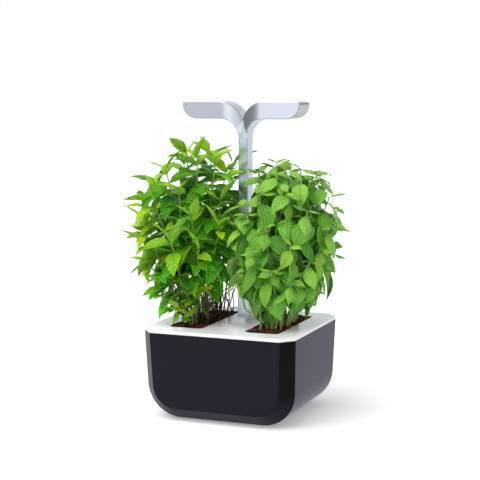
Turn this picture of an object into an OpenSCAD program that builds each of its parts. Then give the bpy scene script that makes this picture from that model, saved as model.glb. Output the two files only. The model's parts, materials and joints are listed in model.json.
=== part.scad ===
// Countertop hydroponic garden: a water tank, a lid with two planting slots, and a leaf-armed lamp.
// The origin is at the centre of the base, on the surface it stands on. +Y is the rear, +Z is up.

/* [Tank] */
// Width of the tank at its top edge
tank_w = 185; // [170:1:230]
// Depth of the tank at its top edge
tank_d = 176; // [165:1:230]
// Height of the tank's top edge above the table
tank_h = 102; // [98:1:130]
// Thickness of the tank's walls
tank_wall = 2.8; // [2:0.1:4]
// Radius of the tank's lower left and right corners
corner_r = 40; // [30:1:45]
// How far the chamfer band reaches in from each side, and up from the bottom
band_w = 13.7; // [8:0.1:18]
// How far the chamfer band reaches back from the front face
band_d = 15.8; // [8:0.1:20]
// How far each side leans in between the top edge and the table
side_lean = 3.4; // [0:0.1:8]
// How far the front and the rear lean in between the top edge and the table
front_lean = 6; // [0:0.1:10]
// Height of the rubber feet below the tank
foot_h = 1.2; // [0.8:0.1:4]

/* [Lid] */
// Thickness of the lid's plate
lid_t = 3.5; // [3:0.1:5]
// Dark gap between the tank's edge and the lid
seam = 0.5; // [0.3:0.1:1]
// Width of a planting slot
slot_w = 41; // [34:1:50]
// Length of a planting slot
slot_l = 123; // [90:1:140]
// Distance from the lid's middle to the middle of a slot
slot_x = 46.5; // [44:0.5:56]
// Width of the pedestal
pedestal_w = 19; // [17:0.5:22]
// Length of the pedestal
pedestal_l = 50; // [40:1:60]
// Height of the pedestal above the lid
pedestal_h = 6; // [4:0.5:10]

/* [Hatch] */
// Width of the filling hatch
hatch_w = 31; // [29:1:33]
// Length of the filling hatch
hatch_l = 31; // [30:1:34]
// Thickness of the hatch's panel
hatch_t = 3; // [2.4:0.1:3.4]

/* [Lamp] */
// Height of the lamp's top above the table
lamp_top = 364; // [345:1:420]
// Overall width of the two arms
lamp_w = 145; // [120:1:180]
// Thickness of an arm
arm_t = 20; // [16:0.5:26]
// Depth of the arms at their tips
arm_d = 36; // [32:0.5:44]
// Depth of the mast
mast_d = 16.5; // [15:0.5:20]
// Width of the mast under the arms
mast_w = 10.8; // [10.4:0.1:14]
// Width of the mast at its foot
mast_foot_w = 15; // [12:0.1:17]
// Distance of the mast behind the middle of the lid
mast_y = 12; // [8:0.5:16]
// Thickness of the lamp's moulded walls
lamp_wall = 1.4; // [1.2:0.1:1.6]
// Radius under each arm, where it meets the mast
under_r = 20.4; // [19:0.2:27]
// Radius on top of each arm, down to the notch
bend_r = 32.4; // [32:0.2:40]
// Depth of the lamp at the crease under the notch
crease_d = 19.2; // [18:0.2:22]
// Radius under the tip of each arm
tip_r = 16.5; // [10:0.5:18]
// How deep the mast plugs into the lid
plug_depth = 20; // [15:1:24]

/* [Plants] */
// Depth of the baskets below the lid
basket_h = 64; // [40:1:70]
// Height of the mint's top above the table
mint_top = 323; // [260:1:325]
// Height of the basil's top above the table
basil_top = 296; // [240:1:325]
// Radius of each plant's foliage
foliage_r = 80; // [60:1:100]
// Distance from the middle to the centre of each plant's foliage
foliage_x = 60; // [45:1:70]

/* [Hidden] */
$fn = 64;

// Colours
black_plastic = [0.12, 0.13, 0.15];
white_plastic = [0.94, 0.94, 0.94];
silver = [0.76, 0.78, 0.82];
grey_mesh = [0.62, 0.63, 0.65];
steel = [0.6, 0.6, 0.62];
soil = [0.16, 0.10, 0.07];
felt = [0.85, 0.82, 0.74];
mint_green = [0.29, 0.55, 0.10];
basil_green = [0.36, 0.62, 0.22];
mint_stem_brown = [0.40, 0.25, 0.14];
basil_stem_green = [0.55, 0.65, 0.36];
board_green = [0.05, 0.35, 0.16];
clear_plastic = [0.9, 0.95, 0.9];
frosted = [0.97, 0.97, 0.95];
led_yellow = [1, 0.95, 0.6];
brass = [0.8, 0.7, 0.4];
wire_red = [0.75, 0.1, 0.1];
float_orange = [0.85, 0.30, 0.15];

// Clearances
eps = 0.01;             // overrun of a cut past the face it opens
slip = 0.4;             // between pieces that lift apart by hand
snug = 0.1;             // between pieces that plug together
run = 0.05;             // round a hinge pin or a button
touch = 0.02;           // between fixed pieces that only rest on each other

// Tank
tank_floor = 3;
tank_z0 = foot_h;
arc_steps = 10;
foot_r = 7;
foot_recess = 0.8;
foot_edge = 0.1;        // flat floor left outside each foot
foot_setback = 17.2;    // flat floor left in front of and behind the feet
foot_x = tank_w / 2 - side_lean - corner_r - foot_r - foot_edge;
foot_y = tank_d / 2 - front_lean - band_d - foot_r - foot_setback;

// Lid
lid_z0 = tank_h + seam;
lid_z1 = lid_z0 + lid_t;
skirt_h = 8;
skirt_t = 2;
bead_w = 1.6;
slot_r = 6;
collar_t = 2;
collar_h = 12;
ledge_w = 2;
ledge_t = 2;
ledge_z1 = lid_z0 - collar_h + ledge_t;
pedestal_r = 3.5;
pedestal_y0 = mast_y - 23;
pedestal_z1 = lid_z1 + pedestal_h;
rib_h = 5;
rib_t = 1.6;

// Hatch
hinge_y = pedestal_y0 - 3.7;
hinge_r = 2;
hinge_z = lid_z1 - hinge_r;
hinge_pin_r = 0.8;
hinge_grip = 3;
hatch_ledge = 2;
hatch_frame_t = 2;
hatch_frame_w = 3;
hatch_z0 = lid_z1 - hatch_t;
hatch_y = hinge_y - hatch_l / 2;
finger_r = 3.5;

// Float and its guide
guide_r = 12.5;
guide_wall = 1.5;
guide_z0 = 20;
guide_flange = 1.8;
guide_z1 = lid_z0 - hatch_frame_t;
float_r = guide_r - 0.8;
float_h = 12;
marker_r = 1.5;
guide_slots = 6;
float_travel = 48;

// Control housing
housing_w = 2 * (slot_x - slot_w / 2 - collar_t - 1.5);
housing_wall = 1.8;
housing_z0 = lid_z0 - 24.5;
housing_z1 = lid_z0 - touch;
housing_y0 = mast_y - 14;
housing_gap = 0.6;
housing_y1 = tank_d / 2 - 1.6;
board_z0 = housing_z0 + 10;
board_t = 1.6;
board_y0 = mast_y + 14;
notch_z0 = housing_z0 - housing_gap;
boss_r = 3.2;
boss_z = housing_z0 + 12;
screw_r = 1.45;
screw_head_r = 2.7;
screw_head_h = 1.8;
screw_x = housing_w / 2 - 5;
screw_ys = [mast_y + 6, mast_y + 56];
inlet_z = board_z0 + 7.2;
inlet_r = 2.75;
inlet_l = 9;
inlet_body = [9, 13, 11];

// Power button and status light
button_y = mast_y + 40;
button_r = 7;
button_proud = 1.6;
button_flange_r = 8.4;
button_flange_h = 1.5;
button_travel = 1.5;
switch_size = [6.2, 6.2, 3.4];
plunger_r = 1.75;
plunger_z1 = lid_z0 - 7.9;
light_y = button_y + 14;
light_r = 1.5;
light_pipe_z0 = board_z0 + 3 + touch;

// Lamp
arm_z0 = lamp_top - arm_t;
tip_top_r = 4;
tube_w = 6.9;
tube_d = 12;
tube_wall = 1;
tube_z0 = pedestal_z1 - plug_depth;
tube_z1 = arm_z0 - 12;
socket_t = 2.2;
bend_x = 29.5;
bend_d = 31;
bend_top_z = lamp_top - bend_r;
notch_z = bend_top_z + sqrt(bend_r * bend_r - bend_x * bend_x);
plan_rise = (bend_d - crease_d) / 2;
plan_r = (bend_x * bend_x + plan_rise * plan_rise) / (2 * plan_rise);
plan_steps = 10;
blend_steps = 5;        // those steps of the plan that reach over the mast
blend_z0 = arm_z0 - under_r - 2;
blend_z1 = blend_z0 + 16;
shell_z0 = pedestal_z1 + touch;
cap_x = lamp_w / 2 - 10.5;
cap_taper = (arm_d - bend_d) / 2 * (cap_x - bend_x) / (lamp_w / 2 - bend_x);
cap_half = bend_d / 2 + cap_taper - lamp_wall;
lens_x0 = 33;
lens_x1 = cap_x - 1.2;
lens_d = 24;
lens_t = 1.6;
cap_t = 1.6;
skin_recess = 0.4;
board_x0 = 31;
board_x1 = cap_x - 2;
led_board_d = 20;
led_board_z = arm_z0 + 6;
led_size = [3.5, 3.5, 1.4];
led_pitch = 6.2;
led_edge = 5;
post_r = 2;
lamp_screw_r = 1.1;
lamp_screw_head_r = 2.2;
lamp_screw_head_h = 1.4;
lamp_boss_r = 2.6;
lamp_bosses = [[24, arm_z0 + 9.5], [cap_x - 3, arm_z0 + 13.5]];
lead_r = 1.3;
plug_size = [4.6, 9.6, 9];
pin_r = 0.8;
pin_l = 4.5;
pin_pitch = 5;
jack_size = [11, 15];
jack_gap = 0.2;

// Plants
basket_wall = 1.6;
basket_flange_t = 2;
basket_w = slot_w - 2 * ledge_w - 2 * slip;
basket_l = slot_l - 2 * ledge_w - 2 * slip;
basket_z1 = ledge_z1 + touch;
basket_z0 = basket_z1 - basket_h;
basket_slot_w = 3;
basket_slot_pitch = 8;
block_w = basket_w - 2 * basket_wall - 2 * touch;
block_l = basket_l - 2 * basket_wall - 2 * touch;
block_top = lid_z1 - 1;
crown_w = slot_w - 2 * slip;
crown_l = slot_l - 2 * slip;
wick_w = 8;
wick_t = 2;
wick_y = 30;
wick_slack = 0.3;
stem_pitch = 18;
stem_rows = floor(crown_l / (stem_pitch + 2));
stem_column = 10;
lower_gap = 19;         // half the clear width over the lid's middle, low down
upper_gap = 10.5;       // half the clear width beside the mast
gap_z = lid_z1 + 39;
foliage_z0 = lid_z1 + 19;
foliage_foot_r = 56;

// ---- Shapes that several pieces use ----

// Points of an arc from angle a0 to a1, both ends included
function arc(centre, r, a0, a1, steps = arc_steps) =
    [for (i = [0:steps]) let (a = a0 + (a1 - a0) * i / steps) centre + r * [cos(a), sin(a)]];

// Rounded rectangle about the origin
module rounded_rect(w, l, r) {
    square([w - 2 * r, l], center = true);
    square([w, l - 2 * r], center = true);
    for (x = [-1, 1], y = [-1, 1])
        translate([x * (w / 2 - r), y * (l / 2 - r)]) circle(r);
}

// A plate of that outline from height z0 to z1
module rounded_plate(w, l, r, z0, z1) {
    translate([0, 0, z0]) linear_extrude(z1 - z0) rounded_rect(w, l, r);
}

// A vertical rod or bore from height z0 to z1
module post(r, z0, z1) {
    translate([0, 0, z0]) cylinder(r = r, h = z1 - z0);
}

// A box given by its two ends along each axis
module span_box(x, y, z) {
    translate([x[0], y[0], z[0]]) cube([x[1] - x[0], y[1] - y[0], z[1] - z[0]]);
}

// A straight round wire between two points of the plane y = 0, given as [x, z]
module wire(from, to, r) {
    way = to - from;
    translate([from[0], 0, from[1]]) rotate([0, atan2(way[0], way[1]), 0]) cylinder(r = r, h = norm(way));
}

// ---- Tank ----

lean_angle = atan(side_lean / tank_h);

// How far the chamfer band reaches on a skin that lies inset from the outer one
function band_at(reach, inset) = reach - inset * (sqrt(2) - 1);

// The U outline of the tank at one depth, inset from the outer skin, as [x, z] points
function u_outline(inset, floor_z, r, top) =
    let (
        mid_z = floor_z + r,
        mid_x = tank_w / 2 - inset - side_lean * (tank_h - mid_z) / tank_h - r / cos(lean_angle),
        top_x = tank_w / 2 - inset - side_lean * (tank_h - top) / tank_h
    )
    concat(
        [[top_x, top]],
        arc([mid_x, mid_z], r, -lean_angle, -90),
        arc([-mid_x, mid_z], r, -90, lean_angle - 180),
        [[-top_x, top]]
    );

// Four U outlines joined into one solid: front face, front band, rear band, rear face
module tank_form(inset, top) {
    floor_z = tank_z0 + (inset > 0 ? tank_floor : 0);
    bw = band_at(band_w, inset);
    full = u_outline(inset, floor_z, corner_r - inset, top);
    narrow = u_outline(inset + bw, floor_z + bw, corner_r - inset - bw, top);
    face_y = tank_d / 2 - inset;
    band_y = face_y - band_at(band_d, inset);
    function lean(z) = front_lean * (tank_h - z) / tank_h;
    function ring(outline, y, side) = [for (p = outline) [p[0], side * (y - lean(p[1])), p[1]]];
    n = len(full);
    rings = [
        ring(narrow, face_y, -1), ring(full, band_y, -1),
        ring(full, band_y, 1), ring(narrow, face_y, 1)
    ];
    skin = [for (k = [0:2], i = [0:n - 2]) each [
        [k * n + i, (k + 1) * n + i + 1, k * n + i + 1],
        [k * n + i, (k + 1) * n + i, (k + 1) * n + i + 1]
    ]];
    front = [[for (i = [0:n - 1]) i]];
    rear = [[for (i = [n - 1:-1:0]) 3 * n + i]];
    lid_face = [[n - 1, 2 * n - 1, 3 * n - 1, 4 * n - 1, 3 * n, 2 * n, n, 0]];
    polyhedron([for (r = rings) each r], concat(skin, front, rear, lid_face), convexity = 4);
}

module water_tank() {
    color(black_plastic) difference() {
        tank_form(0, tank_h);
        tank_form(tank_wall, tank_h + 1);
        for (x = [-1, 1], y = [-1, 1])
            translate([x * foot_x, y * foot_y, 0]) post(foot_r + snug, 0, tank_z0 + foot_recess);
        span_box(
            [-housing_w / 2 - housing_gap, housing_w / 2 + housing_gap],
            [tank_d / 2 - 2 * band_d, tank_d / 2 + 1], [notch_z0, tank_h + 1]
        );
    }
}

module feet() {
    color(black_plastic) for (x = [-1, 1], y = [-1, 1])
        translate([x * foot_x, y * foot_y, 0]) post(foot_r, 0, tank_z0 + foot_recess);
}

// ---- Lid ----

// Octagon that the tank's top edge follows, inset from the outer skin
module lid_outline(inset) {
    x = tank_w / 2 - inset;
    y = tank_d / 2 - inset;
    bx = band_at(band_w, inset);
    by = band_at(band_d, inset);
    polygon([
        [x - bx, -y], [x, by - y], [x, y - by], [x - bx, y],
        [bx - x, y], [-x, y - by], [-x, by - y], [bx - x, -y]
    ]);
}

module lid_ring(outer, inner, z0, z1) {
    translate([0, 0, z0]) linear_extrude(z1 - z0) difference() {
        lid_outline(outer);
        lid_outline(inner);
    }
}

module at_slots() {
    for (x = [-1, 1]) translate([x * slot_x, 0, 0]) children();
}

module at_mast() {
    translate([0, mast_y, 0]) children();
}

module at_hatch() {
    translate([0, hatch_y, 0]) children();
}

module at_housing_screws() {
    for (x = [-1, 1], y = screw_ys) translate([x * screw_x, y, 0]) children();
}

// Ribs under the lid, from the slots' collars to the skirt
module lid_ribs() {
    rib_x = slot_x + slot_w / 2 + collar_t;
    for (x = [-1, 1], y = [-40, 0, 40])
        on_side(x) span_box([rib_x - eps, tank_w / 2 - tank_wall - 1], [y - rib_t / 2, y + rib_t / 2],
            [lid_z0 - rib_h, lid_z0 + eps]);
    for (x = [-1, 1], side = [-1, 1])
        translate([x * slot_x - rib_t / 2, side * (slot_l / 2 + collar_t + 7) - 7, lid_z0 - rib_h])
            cube([rib_t, 14, rib_h + eps]);
}

// The children as they are for the right side, or mirrored for the left one
module on_side(x) {
    if (x < 0) mirror([1, 0, 0]) children();
    else children();
}

module lid() {
    skirt_inset = tank_wall + slip + front_lean * skirt_h / tank_h;
    color(white_plastic) difference() {
        union() {
            translate([0, 0, lid_z0]) linear_extrude(lid_t) lid_outline(0);
            difference() {
                lid_ring(skirt_inset, skirt_inset + skirt_t, lid_z0 - skirt_h, lid_z0 + eps);
                span_box([-housing_w / 2 - slip, housing_w / 2 + slip], [0, tank_d], [housing_z0, lid_z0]);
            }
            difference() {
                lid_ring(tank_wall - bead_w, tank_wall, tank_h + touch, lid_z0 + eps);
                span_box([-housing_w / 2 - slip, housing_w / 2 + slip], [0, tank_d], [housing_z0, lid_z0]);
            }
            at_slots() rounded_plate(slot_w + 2 * collar_t, slot_l + 2 * collar_t, slot_r + collar_t,
                lid_z0 - collar_h, lid_z0 + eps);
            translate([0, pedestal_y0 + pedestal_l / 2, 0])
                rounded_plate(pedestal_w, pedestal_l, pedestal_r, lid_z1 - eps, pedestal_z1);
            at_mast() rounded_plate(tube_w + 2 * socket_t, tube_d + 2 * socket_t, 1.5, tube_z0, lid_z0 + eps);
            at_hatch() rounded_plate(hatch_w + 2 * hatch_frame_w, hatch_l + 2 * hatch_frame_w + 2, 2,
                lid_z0 - hatch_frame_t, lid_z0 + eps);
            at_housing_screws() post(boss_r, boss_z, lid_z0 + eps);
            lid_ribs();
        }
        // planting slots, with the ledge that carries each basket
        at_slots() rounded_plate(slot_w, slot_l, slot_r, ledge_z1, lid_z1 + 1);
        at_slots() rounded_plate(slot_w - 2 * ledge_w, slot_l - 2 * ledge_w, slot_r - ledge_w,
            lid_z0 - collar_h - 1, lid_z1);
        // mast socket
        at_mast() rounded_plate(tube_w + 2 * snug, tube_d + 2 * snug, 0.8, tube_z0 - 1, pedestal_z1 + 1);
        // filling opening, its rebate and the room that the hinge turns in
        at_hatch() rounded_plate(hatch_w - 2 * hatch_ledge - 2, hatch_l - 5, 3, lid_z0 - 10, lid_z1 + 1);
        span_box([-hatch_w / 2 - slip, hatch_w / 2 + slip],
            [hinge_y - hatch_l - slip, hinge_y + hinge_r + 0.3], [hatch_z0 - touch, lid_z1 + 1]);
        span_box([-hatch_w / 2 - slip, hatch_w / 2 + slip],
            [hinge_y - hinge_r - 0.6, hinge_y + hinge_r + 0.3], [hinge_z - hinge_r - 0.3, lid_z1 + 1]);
        translate([0, hinge_y, hinge_z]) rotate([0, 90, 0])
            cylinder(r = hinge_pin_r + touch, h = hatch_w + 2 * hinge_grip + 1, center = true);
        // button, status light and housing screws
        translate([0, button_y, 0]) post(button_r + run, lid_z0 - 1, lid_z1 + 1);
        translate([0, light_y, 0]) post(light_r + touch, lid_z0 - 1, lid_z1 + 1);
        at_housing_screws() post(screw_r + touch, boss_z - 1, lid_z0 - 1);
    }
}

module fill_hatch() {
    color(white_plastic) difference() {
        union() {
            span_box([-hatch_w / 2, hatch_w / 2], [hinge_y - hatch_l, hinge_y], [hatch_z0, lid_z1]);
            translate([0, hinge_y, hinge_z]) rotate([0, 90, 0])
                cylinder(r = hinge_r, h = hatch_w, center = true);
        }
        translate([0, hinge_y, hinge_z]) rotate([0, 90, 0])
            cylinder(r = hinge_pin_r + run, h = hatch_w + 1, center = true);
        translate([0, hinge_y - hatch_l, 0]) post(finger_r, hatch_z0 - 1, lid_z1 + 1);
    }
}

module hatch_pin() {
    color(steel) translate([0, hinge_y, hinge_z]) rotate([0, 90, 0])
        cylinder(r = hinge_pin_r, h = hatch_w + 2 * hinge_grip, center = true);
}

// ---- Water level float ----

module float_guide() {
    slot_z = [guide_z0 + 6, guide_z1 - 8];
    color(white_plastic) at_hatch() difference() {
        union() {
            post(guide_r + guide_wall, guide_z0, guide_z1 - touch);
            rounded_plate(hatch_w + 2 * hatch_frame_w, hatch_l + 2 * hatch_frame_w, 2,
                guide_z1 - guide_flange, guide_z1 - touch);
        }
        post(guide_r, guide_z0 + 2, guide_z1 + 1);
        post(guide_r - 2, guide_z0 - 1, guide_z0 + 3);
        for (i = [0:guide_slots - 1]) rotate([0, 0, 360 * i / guide_slots])
            span_box([0, guide_r + 2 * guide_wall], [-4, 4], slot_z);
    }
}

module level_float() {
    float_z0 = guide_z0 + 2 + touch;
    color(float_orange) at_hatch() {
        post(float_r, float_z0, float_z0 + float_h);
        post(marker_r, float_z0 + float_h - eps, guide_z1 - 4 - float_travel);
    }
}

// ---- Planting baskets ----

// One slatted basket about its slot's axis
module basket() {
    slot_z = [basket_z0 + 8, basket_z1 - 8];
    half_count = floor((basket_l / 2 - 8) / basket_slot_pitch);
    color(black_plastic) difference() {
        union() {
            rounded_plate(crown_w, crown_l, slot_r - slip, basket_z1, basket_z1 + basket_flange_t);
            rounded_plate(basket_w, basket_l, slot_r - ledge_w, basket_z0, basket_z1 + eps);
        }
        rounded_plate(basket_w - 2 * basket_wall, basket_l - 2 * basket_wall,
            slot_r - ledge_w - basket_wall, basket_z0 + basket_wall, basket_z1 + basket_flange_t + 1);
        for (i = [-half_count:half_count]) translate([0, i * basket_slot_pitch, 0])
            span_box([-slot_w, slot_w], [-basket_slot_w / 2, basket_slot_w / 2], slot_z);
        for (y = [-1, 1])
            span_box([-wick_w / 2 - wick_slack, wick_w / 2 + wick_slack],
                [y * wick_y - wick_t / 2 - wick_slack, y * wick_y + wick_t / 2 + wick_slack],
                [basket_z0 - 1, basket_z0 + basket_wall + 1]);
    }
}

// One grow block: the part inside the basket, and the crown that fills the slot over its flange
module grow_block() {
    crown_z0 = basket_z1 + basket_flange_t + touch;
    color(soil) {
        rounded_plate(block_w, block_l, slot_r - ledge_w - basket_wall - touch,
            basket_z0 + basket_wall + touch, crown_z0 + eps);
        rounded_plate(crown_w, crown_l, slot_r - slip, crown_z0, block_top);
    }
}

// Two felt wicks, from under the block down to the tank's floor
module wicks() {
    color(felt) for (y = [-1, 1])
        translate([-wick_w / 2, y * wick_y - wick_t / 2, tank_z0 + tank_floor + 0.6])
            cube([wick_w, wick_t, basket_z0 + basket_wall - tank_z0 - tank_floor - 0.6]);
}

// Stems in two staggered rows along the block
module stems(r) {
    for (i = [0:stem_rows - 1], side = [-1, 1])
        translate([side * stem_column / 2, (i - (stem_rows - 1) / 2) * stem_pitch + side * stem_pitch / 4, 0])
            post(r, block_top, foliage_z0);
}

// A plant's foliage: a round crown on its own axis, cut clear of the mast and the lid's middle
module foliage(side, top, centre_y) {
    crown = [
        [0, foliage_z0], [foliage_foot_r, foliage_z0], [foliage_r - 3, foliage_z0 + 36],
        [foliage_r, foliage_z0 + 60], [foliage_r - 1, (foliage_z0 + top) / 2],
        [foliage_r * 0.9, top - 55], [foliage_r * 0.68, top - 26], [foliage_r * 0.34, top - 8], [0, top]
    ];
    intersection() {
        translate([side * foliage_x, centre_y, 0]) rotate_extrude() polygon(crown);
        on_side(side) union() {
            span_box([lower_gap, 2 * tank_w], [-tank_w, tank_w], [0, gap_z]);
            span_box([upper_gap, 2 * tank_w], [-tank_w, tank_w], [gap_z - eps, lamp_top]);
        }
    }
}

module in_left_slot() {
    translate([-slot_x, 0, 0]) children();
}

module in_right_slot() {
    translate([slot_x, 0, 0]) children();
}

module mint_basket() { in_left_slot() basket(); }
module mint_block() { in_left_slot() grow_block(); }
module mint_wicks() { in_left_slot() wicks(); }
module mint_stems() { color(mint_stem_brown) in_left_slot() stems(1.5); }
module mint_foliage() { color(mint_green) foliage(-1, mint_top, -6); }
module basil_basket() { in_right_slot() basket(); }
module basil_block() { in_right_slot() grow_block(); }
module basil_wicks() { in_right_slot() wicks(); }
module basil_stems() { color(basil_stem_green) in_right_slot() stems(1.3); }
module basil_foliage() { color(basil_green) foliage(1, basil_top, 6); }

// ---- Electronics under the lid ----

module control_housing() {
    color(white_plastic) difference() {
        union() {
            difference() {
                span_box([-housing_w / 2, housing_w / 2], [housing_y0, housing_y1], [housing_z0, housing_z1]);
                span_box([-housing_w / 2 + housing_wall, housing_w / 2 - housing_wall],
                    [housing_y0 + housing_wall, housing_y1 - housing_wall],
                    [housing_z0 + housing_wall, housing_z1 + 1]);
            }
            at_housing_screws() post(boss_r, housing_z0 + eps, boss_z - touch);
        }
        at_housing_screws() post(screw_r + 0.25, housing_z0 - 1, boss_z + 1);
        at_housing_screws() post(screw_head_r + 0.3, housing_z0 - 1, housing_z0 + screw_head_h + 0.2);
        translate([0, housing_y1 + 1, inlet_z]) rotate([90, 0, 0])
            cylinder(r = inlet_r + 1.2, h = housing_wall + 2);
    }
}

module control_board() {
    edge = housing_w / 2 - housing_wall - 0.5;
    color(board_green) difference() {
        span_box([-edge, edge], [board_y0, housing_y1 - housing_wall - 0.5], [board_z0, board_z0 + board_t]);
        at_housing_screws() post(boss_r + 0.4, board_z0 - 1, board_z0 + board_t + 1);
    }
    // driver chip, two capacitors and the status LED
    color(black_plastic)
        span_box([-6, 4], [board_y0 + 4, board_y0 + 12], [board_z0 + board_t - eps, board_z0 + 3.4]);
    color(black_plastic) for (x = [-8, 7])
        translate([x, button_y + 20, 0]) post(2.5, board_z0 + board_t - eps, board_z0 + 8);
    color(white_plastic)
        span_box([-1.5, 1.5], [light_y - 1.5, light_y + 1.5],
            [board_z0 + board_t - eps, light_pipe_z0 - touch]);
    // pillars that stand the board on the housing's floor
    color(black_plastic) for (x = [-12, 12], y = [board_y0 + 6, housing_y1 - 10])
        translate([x, y, 0]) post(1.8, housing_z0 + housing_wall + touch, board_z0 + eps);
}

module dc_inlet() {
    inlet_y1 = housing_y1 - housing_wall - touch;
    nose_r = inlet_r + 1;
    color(black_plastic) difference() {
        union() {
            span_box([-inlet_body[0] / 2, inlet_body[0] / 2], [inlet_y1 - inlet_body[1], inlet_y1],
                [board_z0 + board_t + touch, board_z0 + board_t + inlet_body[2]]);
            translate([0, inlet_y1 + 1, inlet_z]) rotate([90, 0, 0]) cylinder(r = nose_r, h = 1 + eps);
        }
        translate([0, inlet_y1 + 1 + eps, inlet_z]) rotate([90, 0, 0])
            cylinder(r = inlet_r, h = inlet_l + eps);
    }
}

module power_switch() {
    z0 = board_z0 + board_t + touch;
    color(black_plastic) translate([0, button_y, 0]) {
        translate([-switch_size[0] / 2, -switch_size[1] / 2, z0]) cube(switch_size);
        post(plunger_r, z0 + switch_size[2] - eps, plunger_z1);
    }
}

module power_button() {
    flange_z1 = lid_z0 - 0.05;
    color(grey_mesh) translate([0, button_y, 0]) {
        post(button_r, flange_z1 - button_flange_h + eps, lid_z1 + button_proud);
        post(button_flange_r, flange_z1 - button_flange_h, flange_z1);
        post(2, plunger_z1 + button_travel + 0.1, flange_z1 - button_flange_h + eps);
    }
}

module status_light_pipe() {
    color(clear_plastic) translate([0, light_y, 0]) post(light_r, light_pipe_z0, lid_z1);
}

module housing_screws() {
    color(steel) at_housing_screws() {
        post(screw_head_r, housing_z0, housing_z0 + screw_head_h);
        post(screw_r, housing_z0 + screw_head_h - eps, lid_z0 - 2);
    }
}

// ---- Lamp ----

// Front outline of the lamp, as [x, z]: two leaf arms that curve down into the mast
module lamp_outline(inset) {
    half_w = lamp_w / 2 - inset;
    z0 = arm_z0 + inset;
    z1 = lamp_top - inset;
    top_w = mast_w / 2 - inset;
    foot_w = mast_foot_w / 2 - inset;
    under_x = mast_w / 2 + under_r;
    under_z = arm_z0 - under_r;
    tip_x = lamp_w / 2 - tip_r;
    tip_z = arm_z0 + tip_r;
    difference() {
        union() {
            // arms between the tips' lower radii
            translate([-tip_x, z0]) square([2 * tip_x, z1 - z0]);
            // tips, rounded much more below than on top
            for (x = [-1, 1]) intersection() {
                union() {
                    translate([x * tip_x, tip_z]) circle(tip_r - inset);
                    translate([x * half_w / 2, (tip_z + z1 + tip_r) / 2])
                        square([half_w, z1 - tip_z + tip_r], center = true);
                }
                union() {
                    translate([x * (lamp_w / 2 - tip_top_r), lamp_top - tip_top_r])
                        circle(max(tip_top_r - inset, 0.5));
                    translate([x * half_w / 2, (z0 + lamp_top - tip_top_r) / 2])
                        square([half_w, lamp_top - tip_top_r - z0], center = true);
                    translate([x * (lamp_w / 2 - tip_top_r) / 2, (z0 + z1) / 2])
                        square([lamp_w / 2 - tip_top_r, z1 - z0], center = true);
                }
            }
            // mast
            polygon([
                [-foot_w, shell_z0], [foot_w, shell_z0], [top_w, under_z],
                [top_w, bend_top_z], [-top_w, bend_top_z], [-top_w, under_z]
            ]);
            // webs under the arms
            translate([-under_x, under_z]) square([2 * under_x, z0 - under_z + eps]);
        }
        for (x = [-1, 1]) translate([x * under_x, under_z]) circle(under_r + inset);
        difference() {
            translate([-bend_x, bend_top_z]) square([2 * bend_x, bend_r + 1]);
            for (x = [-1, 1]) translate([x * bend_x, bend_top_z]) circle(bend_r - inset, $fn = 128);
        }
    }
}

// Half the arms' depth at x, inside the bend
function bend_half(x, inset) =
    bend_d / 2 - plan_r + sqrt(pow(plan_r - inset, 2) - pow(bend_x - x, 2));

// Plan outline of the arms: drawn in along an arc, from both bends to a crease in the middle
module lamp_plan(inset) {
    quarter = [
        for (i = [0:plan_steps]) let (x = bend_x * i / plan_steps) [x, bend_half(x, inset)],
        [lamp_w / 2, arm_d / 2 - inset]
    ];
    last = len(quarter) - 1;
    rear = [for (i = [-last:last]) [sign(i) * quarter[abs(i)][0], quarter[abs(i)][1]]];
    polygon([each rear, for (i = [2 * last:-1:0]) [rear[i][0], -rear[i][1]]]);
}

// Turns the mast's flat front and rear into the arms' crease, from blend_z0 up to blend_z1
module crease_blend(inset) {
    mid = mast_d / 2 - inset;
    xs = [for (i = [-blend_steps:blend_steps]) bend_x * i / plan_steps];
    last = len(xs) - 1;
    count = 2 * len(xs);
    low = [
        for (x = xs) [x, mid, blend_z0],
        for (i = [last:-1:0]) [xs[i], -mid, blend_z0]
    ];
    high = [
        for (x = xs) [x, bend_half(abs(x), inset), blend_z1],
        for (i = [last:-1:0]) [xs[i], -bend_half(abs(xs[i]), inset), blend_z1]
    ];
    polyhedron(concat(low, high), [
        for (i = [0:last - 1]) each [
            [i, count - 1 - i, count - 2 - i, i + 1],
            [count + i, count + i + 1, 2 * count - 2 - i, 2 * count - 1 - i]
        ],
        for (i = [0:count - 1]) let (next = (i + 1) % count) each [
            [i, next, count + next],
            [i, count + next, count + i]
        ]
    ]);
}

// The lamp's body, inset from its outer skin; edge_inset is the inset seen from the front
module lamp_form(edge_inset, depth_inset) {
    mid = mast_d / 2 - depth_inset;
    blend_x = bend_x * blend_steps / plan_steps;
    at_mast() intersection() {
        translate([0, arm_d, 0]) rotate([90, 0, 0]) linear_extrude(2 * arm_d) lamp_outline(edge_inset);
        union() {
            translate([0, 0, blend_z1]) linear_extrude(lamp_top) lamp_plan(depth_inset);
            crease_blend(depth_inset);
            span_box([-blend_x, blend_x], [-mid, mid], [tube_z0, blend_z0]);
        }
    }
}

// A layer of the lamp's skin, from one inset to another, as deep as d
module lamp_skin(outer, inner, d) {
    at_mast() translate([0, d / 2, 0]) rotate([90, 0, 0]) linear_extrude(d) difference() {
        lamp_outline(outer);
        lamp_outline(inner);
    }
}

module at_arms() {
    for (x = [-1, 1]) on_side(x) at_mast() children();
}

// Underside window of the diffusers, and the end openings of the caps
module lamp_openings() {
    lens_half = lens_d / 2 + snug;
    at_arms() {
        span_box([lens_x0, lens_x1], [-lens_half, lens_half], [arm_z0 - 1, arm_z0 + lamp_wall + 1.5]);
        span_box([cap_x, lamp_w], [-cap_half, cap_half], [arm_z0 - 1, lamp_top - lamp_wall - 0.6]);
    }
}

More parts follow.
